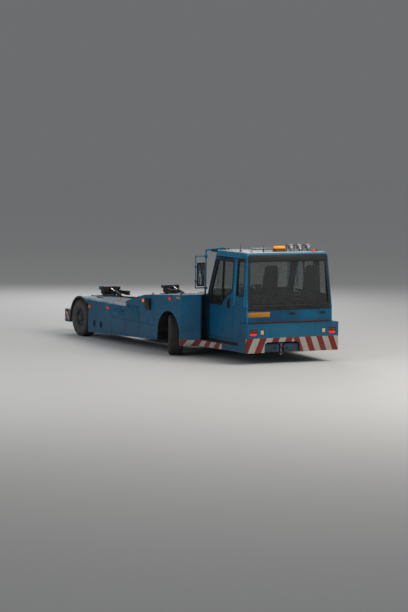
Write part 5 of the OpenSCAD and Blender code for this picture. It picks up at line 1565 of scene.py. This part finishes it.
def build_cab_sides():
    """Door trim, seals, handle dish, lock, drip rails and covers on the pillars in painted highlight blue."""
    trim = [band(on_door, (0.985, 0.652), (2.325, 0.652), 0.022, 0.004),
            band(on_door, (1.005, 1.500), (1.250, 1.500), 0.004, 0.001)]
    on_both(trim, "door_trim", BODY, "door_{}")
    seals = [band(on_door, start, end, 0.012, 0.0012) for start, end in (
        ((0.973, 0.640), (0.973, 1.545)), ((0.980, 0.633), (2.330, 0.633)), ((2.337, 0.640), (2.337, 1.545)))]
    on_both(seals, "door_gap", SEAL)
    dish = [panel(on_door, rectangle(1.140, 1.470, 1.290, 1.530), 0.0025, 0.0, 0.018, 0.0008),
            panel(on_side, rectangle(1.120, 1.540, 1.300, 1.755), 0.0025, 0.0, 0.018, 0.0008)]
    on_both(dish, "handle_dish", PLASTIC, "door_{}")
    lock = [bar(on_door(1.21, 1.435), on_door(1.21, 1.435, out), radius, sides, edge)
            for out, radius, sides, edge in ((0.006, 0.014, 24, 0.002), (0.008, 0.007, 16, 0.001))]
    on_both(lock, "door_lock", STEEL, "door_{}")
    drip = [tube([on_side(0.450, 2.955, 0.006), on_side(2.030, 2.955, 0.006)], 0.009, 0.01, 3),
            tube([on_side(0.435, 1.600, 0.004), on_side(0.448, 2.93, 0.006), on_side(0.47, 2.955, 0.006)],
                 0.004, 0.02, 3)]
    on_both(drip, "drip_rail", BODY)
    # Painted highlight: pillar covers in bright blue for the light on the cab's corner posts.
    corner = [(0.262, 1.58), (0.398, 1.58), (0.398, 1.84), (0.408, 2.78), (0.388, 2.78)]
    pillar = [panel(on_side, rectangle(0.862, 1.56, 0.958, 2.83), 0.006, 0.0, 0.01, 0.002),
              panel(on_side, corner, 0.005, 0.0, 0.008, 0.002)]
    on_both(pillar, "front_pillar_highlight", HIGHLIGHT_AND_TRIM_BLUE)
    on_both([bolt(on_door(t, z), OUT_LEFT, 0.008) for t in (0.28, 0.90) for z in (0.66, 1.10, 1.48)],
            "cab_side_bolts", BODY)


def build_gap():
    """The dark bellows and posts in the gap between cab and body, and a black sheet of painted shade on the
    body's front face.
    """
    folds = [block(2.480, 2.424, 0, 1.33, 0.62, 1.82, 0.006)]
    folds += [block(2.478, 2.426, side * 1.34, 0.012, z, z + 0.030, 0.006)
              for side in SIDES for z in [0.64 + 0.045 * i for i in range(26)]]
    placed(folds, "gap_bellows", IRON)
    on_both([box((at(2.478), -1.445, 0.56), (at(2.440), -1.405, 1.900), 0.006),
             box((at(2.478), -1.475, 0.515), (at(2.430), -1.385, 0.560))], "gap_post", BLACK)
    # Painted shade: a black sheet on the body's front face in the gap.
    shade = box((at(2.4795), -1.600, 0.515), (at(2.474), -1.450, 1.740), 0.001)
    on_both(shade, "body_front_shade", BLACK)


MIRROR_TUBE_Y, MIRROR_OUTER_Y = -1.36, -1.69


def build_mirror_brackets():
    """Blue sleeves and clamps on the mirrors' tubes, their brackets and feet."""
    t, y = MIRROR_T, MIRROR_TUBE_Y
    sleeves = [tube([(at(1.90), -1.12, 3.112), (at(1.90), -1.12, 3.10)], 0.020, 0.004),
               bar((at(1.95), -1.139, 3.100), (at(2.54), -1.353, 3.023), 0.026, 20, 0.005),
               post(t, y, 2.00, 3.00, 0.020, 20, 0.003),
               post(t, MIRROR_OUTER_Y, 2.00, 2.80, 0.016, 20, 0.003)]
    sleeves += [bar((at(t), -1.38, z), (at(t), -1.67, z), 0.016, 20, 0.003) for z in (2.85, 1.95)]
    sleeves += [block(2.60, 2.52, y, 0.04, z, z + 0.08, 0.010) for z in (2.80, 1.905)]
    on_both(sleeves, "mirror_sleeves", HIGHLIGHT_AND_TRIM_BLUE)
    brackets = [box((at(2.40), -1.295, 2.985), (at(2.12), -1.225, 3.050), 0.010)]
    brackets += [box((at(2.590), -1.710, z), (at(2.530), -1.60, z + 0.030), 0.006) for z in (2.13, 2.535)]
    on_both(brackets, "mirror_brackets", PLASTIC)
    on_both([block(2.62, 2.50, y, 0.06, 1.764, 1.776), post(t, y, 1.766, 1.960, 0.016, 20, 0.003)],
            "mirror_post_feet", PLASTIC)


# Deck, hood and engine

HOOD_BLADES, BLADES_T, BLADE_PITCH = 9, 3.410, 1.140 / 9
HANDLE_T = 4.50


def build_hood():
    """Slanting blades in the hood's louvres, latches and lifting handles."""
    blades = []
    for t in [BLADES_T + (i + 0.5) * BLADE_PITCH for i in range(HOOD_BLADES)]:
        for y0, y1 in ((-0.950, -0.050), (0.050, 0.950)):
            blades.append(plate([on_deck(t - 0.030, y0, -0.040), on_deck(t + 0.022, y0, -0.004),
                                 on_deck(t + 0.022, y1, -0.004), on_deck(t - 0.030, y1, -0.040)],
                                (0, 0, 0.0025), 0.0008, 1))
    placed(blades, "hood_blades", BODY, "hood")
    latches = [panel(on_deck, rectangle(4.46, y - 0.035, 4.54, y + 0.035), 0.008, 0.0, 0.012, 0.002)
               for y in (-0.80, 0.80)]
    placed(latches, "hood_latches", PLASTIC, "hood")
    handles = [staple(on_deck(HANDLE_T, y), (0, 0.09, 0), 0.045, 0.008, 0.02) for y in (-0.44, 0.44)]
    placed(handles, "hood_handles", STEEL, "hood")


def build_deck():
    """Anti-slip mats, fuel and oil caps, tie-down eyes and covers on the deck."""
    mats = [(2.70, y - 0.075, 4.55, y + 0.075) for y in (-1.75, -1.50, 1.50, 1.75)]
    mats.append((2.60, -0.95, 3.18, 0.95))
    placed([panel(on_deck, rectangle(*mat), 0.003, 0.0, 0.02) for mat in mats], "deck_mats", MAT)
    caps = []
    for t, y in ((4.20, -1.22), (4.20, 1.22), (3.50, 1.22)):
        caps += [bar(on_deck(t, y), on_deck(t, y, 0.018), 0.075, 40, 0.004),
                 bar(on_deck(t, y), on_deck(t, y, 0.038), 0.052, 12, 0.006)]
    placed(caps, "deck_caps", PLASTIC)
    eyes = []
    for base in [on_deck(t, y) for t in (2.75, 4.50) for y in (-2.02, 2.02)]:
        eyes += [box(base + Vector((-0.045, -0.035, -0.003)), base + Vector((0.045, 0.035, 0.010)), 0.003),
                 staple(base, (0.03, 0, 0), 0.05, 0.008, 0.022)]
    placed(eyes, "deck_eyes", FRAME)
    covers = [panel(on_deck, rectangle(3.30, y - 0.30, 4.05, y + 0.30), 0.006, 0.0, 0.03, 0.002)
              for y in (-1.62, 1.62)]
    placed(covers, "deck_covers", BODY)
    placed([block(5.80, 5.28, y, 0.34, 1.344, 1.357) for y in (-1.40, 1.40)], "rear_deck_mats", MAT)


ENGINE_TOP_Z = 0.46 + 0.90


def build_engine():
    """Head cover, pipes, air filter, fan and hoses on the engine block."""
    x0, x1 = at(4.48), at(3.48)
    top = ENGINE_TOP_Z
    iron = [box((x0 + 0.12, -0.24, top - 0.002), (x1 - 0.16, 0.24, top + 0.070), 0.012)]
    steel = []
    for x in [x0 + 0.19 + i * 0.125 for i in range(6)]:
        steel += [bar((x, 0.0, top + 0.066), (x, 0.0, top + 0.078), 0.026, 20, 0.003),
                  tube([(x, -0.20, top + 0.03), (x, -0.33, top + 0.02), (x, -0.42, top - 0.16)], 0.020, 0.06)]
        iron.append(box((x - 0.045, -0.445, top - 0.40), (x + 0.045, -0.405, top - 0.12), 0.010))
    black = [tube([(x0 + 0.10, 0.30, top + 0.02), (x1 - 0.20, 0.30, top + 0.02),
                   (x1 - 0.10, 0.30, top - 0.20)], 0.045, 0.12, 8)]
    filter_y, filter_z, x = 0.44, top - 0.10, x0 + 0.20
    black.append(bar((x, filter_y, filter_z), (x + 0.42, filter_y, filter_z), 0.105, 32, 0.012))
    black += [bar((x + d, filter_y, filter_z), (x + 0.015 + d, filter_y, filter_z), 0.111, 32, 0.003)
              for d in (0.04, 0.20, 0.36)]
    steel += [bar((x1 - 0.002, y, z), (x1 + 0.020, y, z), radius, 32, 0.006)
              for y, z, radius in ((0, top - 0.35, 0.11), (0.22, top - 0.18, 0.055))]
    placed(iron, "engine_heads", IRON)
    placed(steel, "engine_pipes", STEEL)
    placed(black, "engine_hoses", SEAL)


POD_T, POD_LAMP_Y = 4.600, -2.224


def build_head_lamps():
    """Lenses, rims and bolts on the lamp pods' faces towards the arms."""
    lens_profile = [(0.0, 0.0), (0.004, 0.0), (0.0045, 0.022), (0.002, 0.028), (0.0, 0.028)]
    rim_profile = [(0.0, 0.028), (0.008, 0.028), (0.008, 0.033), (0.0, 0.034)]
    lenses, rims = [[turned(profile, (at(POD_T), POD_LAMP_Y, z), (-1, 0, 0), 32) for z in (1.305, 1.430)]
                    for profile in (lens_profile, rim_profile)]
    rims.append(box((at(4.592), -2.262, 1.30), (at(4.308), -2.2595, 1.49), 0.001))
    bolts = [bolt((at(t), -2.2600, z), OUT_LEFT, 0.007) for t in (4.33, 4.57) for z in (1.31, 1.48)]
    on_both(lenses, "head_lamp_lenses", WORK_LENS)
    on_both(rims, "head_lamp_rims", PLASTIC)
    on_both(bolts, "head_lamp_bolts", STEEL)


# Underside and steering

KINGPIN_Y = 1.880
RAM_T, RAM_Z = 3.06, 0.54
TANK_Y = 1.70


def build_knuckles():
    """Caps on the kingpins, with their bolts."""
    for side, label in SIDE_NAMES.items():
        x, y = at(FRONT_AXLE_T), side * KINGPIN_Y
        caps = []
        for z, way in ((0.745, 1), (0.405, -1)):
            face_z = z + way * 0.014
            caps.append(bar((x, y, z - way * 0.004), (x, y, face_z), 0.060, 32, 0.004))
            caps += [bolt((x + 0.042 * math.cos(a), y + 0.042 * math.sin(a), face_z), (0, 0, way), 0.007)
                     for a in [math.pi / 3 * i for i in range(6)]]
        placed(caps, f"kingpin_caps_{label}", FRAME, f"knuckle_{label}")


SILL_Z, SILL_FALL, SILL_T, SILL_RUN = 0.380, 0.190, 3.880, 4.560


def sill(t):
    """Height of the body's underside, which falls towards the rear wheels."""
    return SILL_Z - SILL_FALL * max(0, t - SILL_T) / SILL_RUN


def build_underside():
    """Drive shaft, steering cylinders, air tanks, beams and lines below the body."""
    placed([bar((at(3.39), 0.12, 0.50), (at(4.75), 0.12, 0.43), 0.045, 24, 0.004),
            bar((at(3.37), 0.12, 0.50), (at(3.46), 0.12, 0.497), 0.075, 24, 0.006)], "drive_shaft", FRAME)
    barrels, rods, tanks = [], [], []
    for side in SIDES:
        inner, middle, outer = ((at(RAM_T), side * y, RAM_Z) for y in (0.40, 0.78, 1.10))
        barrels.append(bar(inner, middle, 0.036, 24, 0.005))
        rods.append(bar(middle, outer, 0.018, 20, 0.003))
        y = side * TANK_Y
        tanks.append(bar((at(4.95), y, 0.285), (at(4.05), y, 0.315), 0.075, 36, 0.02))
        tanks += [block(t + 0.02, t - 0.02, y, 0.079, 0.300, 0.372) for t in (4.22, 4.78)]
    placed(barrels, "steering_barrels", BLACK)
    placed(rods, "steering_rods", CHROME)
    placed(tanks, "air_tanks", BLACK)
    beams = [block(t + 0.06, t, 0, 1.25, sill(t) - 0.045, sill(t) + 0.004, 0.005) for t in (4.10, 4.80, 5.50)]
    placed(beams, "cross_members", BLACK)
    route = [(0.30, 0.348), (2.40, 0.348), (2.60, 0.364), (3.90, 0.364), (5.60, sill(5.6) - 0.014)]
    lines = [tube([(at(t), y, z) for t, z in route], 0.009, 0.05) for y in (-0.50, -0.47, 0.50, 0.53)]
    placed(lines, "brake_lines", SEAL)


# Inside the cab: seats, dashboard, pedals and controls

SEAT_YS = (-0.480, 0.840)
PAD_T, PAD_Z = 0.480, 1.700
FLOOR_Z = 0.620
STUFFING_FRAMES, STUFFING_PRESSURE = 20, 4
SKIN_VOXEL = 0.009
SEAM_LIFT, SEAM_RADIUS = 0.0005, 0.0035


def seat_point(t, y, z, seat_y=SEAT_YS[0]):
    """A point of a seat, from the corner below its backrest."""
    return Vector((at(PAD_T + t), seat_y + y, PAD_Z + z))


def stuffed(piece, cap):
    """Swells a closed form as stuffed cloth; no point moves further than cap."""
    pick(piece)
    piece.data.remesh_voxel_size = SKIN_VOXEL
    bpy.ops.object.voxel_remesh()
    start = [vertex.co.copy() for vertex in piece.data.vertices]
    cloth = piece.modifiers.new("stuffing", "CLOTH")
    cloth.settings.use_pressure = True
    cloth.settings.uniform_pressure_force = STUFFING_PRESSURE
    cloth.settings.quality = 4
    cloth.settings.mass = 0.3
    cloth.settings.effector_weights.gravity = 0
    cloth.point_cache.frame_start = 1
    cloth.point_cache.frame_end = STUFFING_FRAMES
    for number in range(1, STUFFING_FRAMES + 1):
        bpy.context.scene.frame_set(number)
    bpy.ops.object.modifier_apply(modifier=cloth.name)
    bpy.context.scene.frame_set(1)
    for vertex, home in zip(piece.data.vertices, start):
        move = vertex.co - home
        if move.length > cap:
            vertex.co = home + move * (cap / move.length)
    return modify(piece, "SMOOTH", factor=0.5, iterations=8)


def seam_over(piece, first, last, count, way):
    """A sewn seam: a thin cord laid over the skin below a row of points."""
    path = []
    for i in range(count):
        start = first + (last - first) * i / (count - 1)
        found, place, normal, _ = piece.ray_cast(start, way)
        if found:
            path.append(place + normal * SEAM_LIFT)
    return tube(path, SEAM_RADIUS, 0.004, 3)


def seat_form(points, y, width, edge):
    """A form of the left seat: its side view pushed across."""
    return plate([seat_point(t, y, z) for t, z in points], (0, width, 0), edge, 4)


def build_cushions():
    """Stuffed seat pads, backs and head rests with their seams, on both seats."""
    pad = box(seat_point(0.66, -0.235, 0.020), seat_point(0.030, 0.235, 0.105), 0.035, 4)
    back = seat_form(((0.022, 0.128), (0.140, 0.128), (0.062, 0.722), (-0.018, 0.728)), -0.232, 0.464, 0.035)
    head = seat_form(((-0.014, 0.765), (0.052, 0.765), (0.040, 0.985), (-0.010, 0.985)), -0.132, 0.264, 0.025)
    seat_lines = [((0.06, y, 0.3), (0.63, y, 0.3), 16) for y in (-0.15, 0.15)]
    seat_lines += [((t, -0.15, 0.3), (t, 0.15, 0.3), 10) for t in (0.24, 0.44)]
    back_lines = [((0.5, y, 0.18), (0.5, y, 0.69), 16) for y in (-0.15, 0.15)]
    back_lines += [((0.5, -0.15, z), (0.5, 0.15, z), 10) for z in (0.32, 0.50)]
    head_lines = [((0.5, -0.10, z), (0.5, 0.10, z), 8) for z in (0.83, 0.92)]
    runs = {
        "seat_pad": (stuffed(pad, 0.016), 0.75, (0, 0, -1), seat_lines),
        "seat_back": (stuffed(back, 0.018), 0.7, (1, 0, 0), back_lines),
        "head_rest": (stuffed(head, 0.014), 0.8, (1, 0, 0), head_lines),
    }
    for name, (piece, fill, way, lines) in runs.items():
        seams = join([seam_over(piece, seat_point(*first), seat_point(*last), count, way)
                      for first, last, count in lines])
        for label, shift in (("left", 0.0), ("right", SEAT_YS[1] - SEAT_YS[0])):
            turn = Matrix.Translation((0, shift, 0))
            cushion = placed(copied(piece, turn), f"{name}_{label}", CLOTH, smooth=60)
            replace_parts(cushion, "seats")
            placed(copied(seams, turn), f"{name}_seams_{label}", SEAL)
        drop(piece)
        drop(seams)


def build_seat_frames():
    """Suspension bases with bellows, shells, arm rests, belts and levers of both seats."""
    shells, steel, belts = [], [], []
    for seat_y in SEAT_YS:
        def spot(t, side, z):
            return seat_point(t, side, z, seat_y)

        def slab(t0, t1, half, z0, z1, edge):
            return box(spot(t0, -half, z0), spot(t1, half, z1), edge)

        shells.append(slab(0.53, 0.12, 0.175, -0.450, -0.395, 0.010))
        for i in range(6):
            grow = 0.012 * (i % 2)
            shells.append(slab(0.50 + grow, 0.15 - grow, 0.150 + grow, -0.395 + 0.050 * i,
                               -0.345 + 0.050 * i, 0.012))
        shells += [slab(0.58, 0.08, 0.200, -0.100, -0.030, 0.014),
                   slab(0.62, 0.020, 0.235, -0.032, 0.012, 0.014)]
        back = ((0.000, 0.020), (0.040, 0.020), (0.016, 0.150), (-0.038, 0.700), (-0.056, 0.690),
                (-0.030, 0.150))
        shells.append(plate([spot(t, -0.215, z) for t, z in back], (0, 0.430, 0), 0.012, 3))
        high = ((-0.046, -0.236, 0.600), (-0.046, 0.236, 0.600), (-0.056, 0.205, 0.990),
                (-0.056, -0.205, 0.990))
        shells.append(plate(rounded([spot(*p) for p in high], 0.09, 6), (-0.016, 0, 0), 0.006))
        rest = ((0.02, 0.235), (0.38, 0.255), (0.40, 0.285), (0.38, 0.310), (0.02, 0.300))
        for side in SIDES:
            shells.append(plate([spot(t, side * 0.262 - 0.024, z) for t, z in rest], (0, 0.048, 0), 0.014, 3))
            steel += [bar(spot(0.06, side * 0.205, 0.262), spot(0.06, side * 0.262, 0.262), 0.016, 16),
                      bar(spot(0.018, side * 0.070, 0.735), spot(0.018, side * 0.070, 0.830), 0.007, 12)]
            shells.append(bar(spot(0.30, side * 0.235, -0.010), spot(0.30, side * 0.262, -0.010),
                              0.026, 20, 0.004))
        belt = ((-0.030, 0.700), (-0.024, 0.700), (0.030, 0.060), (0.024, 0.060))
        belts += [plate([spot(t, -0.245, z) for t, z in belt], (0, 0.045, 0), 0.0008, 1),
                  box(spot(0.09, 0.236, 0.02), spot(0.06, 0.252, 0.15))]
    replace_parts(placed(shells, "seat_shells", PLASTIC), "seats")
    placed(steel, "seat_rods", STEEL)
    placed(belts, "seat_belts", CLOTH)


def build_dashboard():
    """Screen, dials, switches, levers, vents and a binnacle on the dashboard, and a side console."""
    y = SEAT_YS[0]
    hood = ((1.93, 1.752), (2.10, 1.852), (2.14, 1.975), (2.04, 1.985))
    dark = [plate([(at(t), y - 0.24, z) for t, z in hood], (0, 0.48, 0), 0.014, 3)]
    bright = [turned([(0.0, size), (0.008, size), (0.008, size - 0.006), (0.004, size - 0.008), (0.004, 0.0),
                      (0.0, 0.0)], (at(1.985), y + side, 1.872), (0.90, 0, 0.42), 28)
              for side, size in ((-0.13, 0.055), (0.0, 0.040), (0.13, 0.055))]
    grey = [box((at(2.085), -0.125, 1.86), (at(2.055), 0.165, 2.055), 0.012)]
    lit = box((at(2.056), -0.105, 1.885), (at(2.052), 0.145, 2.035), 0.002)
    grey += [block(2.02, 1.975, 0.24 + 0.048 * i, 0.017, 1.846, 1.866) for i in range(8)]
    for y in [-0.02 + 0.085 * i for i in range(3)]:
        grey += [bar((at(1.99), y, 1.846), (at(1.965), y, 1.952), 0.007, 12),
                 bar((at(1.967), y, 1.945), (at(1.958), y, 1.985), 0.017, 20, 0.006)]
    dark += [block(2.10 - 0.022 * k, 2.088 - 0.022 * k, y, 0.06, 1.850, 1.858, 0.002)
             for y in (-1.05, -0.85, 0.85, 1.05) for k in range(4)]
    console = [box((at(1.50), 0.04, FLOOR_Z), (at(1.12), 0.34, 1.420), 0.020)]
    console += [bar((at(1.38), y, 1.418), (at(1.40), y, 1.56), 0.008, 12) for y in (0.10, 0.19, 0.28)]
    console += [bar((at(1.40), y, 1.55), (at(1.403), y, 1.60), 0.020, 20, 0.007) for y in (0.10, 0.19, 0.28)]
    placed(dark, "dash_hood", PLASTIC)
    placed(grey, "dash_switches", GREY_PLASTIC)
    placed(bright, "dash_dials", STEEL)
    placed(lit, "dash_screen", MIRROR)
    placed(console, "side_console", GREY_PLASTIC)


def build_controls():
    """Pedals, the steering column's stalks and the cab's lamp."""
    seat_y = SEAT_YS[0]
    tread = ((1.72, 0.05), (1.86, 0.20), (1.872, 0.190), (1.732, 0.04))
    pedals = []
    for y in [seat_y + side for side in (-0.16, 0.02, 0.16)]:
        pedals += [plate([(at(t), y - 0.045, FLOOR_Z + z) for t, z in tread], (0, 0.09, 0), 0.004),
                   bar((at(1.80), y, FLOOR_Z + 0.12), (at(1.88), y, FLOOR_Z + 0.03), 0.012, 12)]
    placed(pedals, "pedals", SEAL)
    stalks = []
    for side in SIDES:
        end = (at(1.91), seat_y + side * 0.17, 1.83)
        stalks += [bar((at(1.93), seat_y + side * 0.03, 1.81), end, 0.007, 12),
                   bar(end, (at(1.907), seat_y + side * 0.20, 1.834), 0.011, 16, 0.004)]
    placed(stalks, "column_stalks", PLASTIC)
    placed(block(1.32, 1.20, 0, 0.16, 2.972, 2.995, 0.008), "cab_light", CLEAR)


# All pieces in their order, then the camera, the light and the floor

for build in (
        dress_nodes, build_tyres, build_wheel_fittings, build_windows, build_visor, build_end_details,
        build_lamps, build_mirror_faces, build_roof_lamps, build_beacon, build_roof_edges,
        build_roof_seams, build_body_seams, build_hatches, build_side_plates, build_footholds,
        build_fender_lips, build_arm_tops, build_arm_ends, build_clamp_details, build_cradle_details,
        build_carved_bumper, build_notch, build_skirt_details, build_cab_sides, build_gap,
        build_mirror_brackets, build_hood, build_deck, build_engine, build_head_lamps, build_knuckles,
        build_underside, build_cushions, build_seat_frames, build_dashboard, build_controls,
        set_camera, set_light, set_floor):
    build()
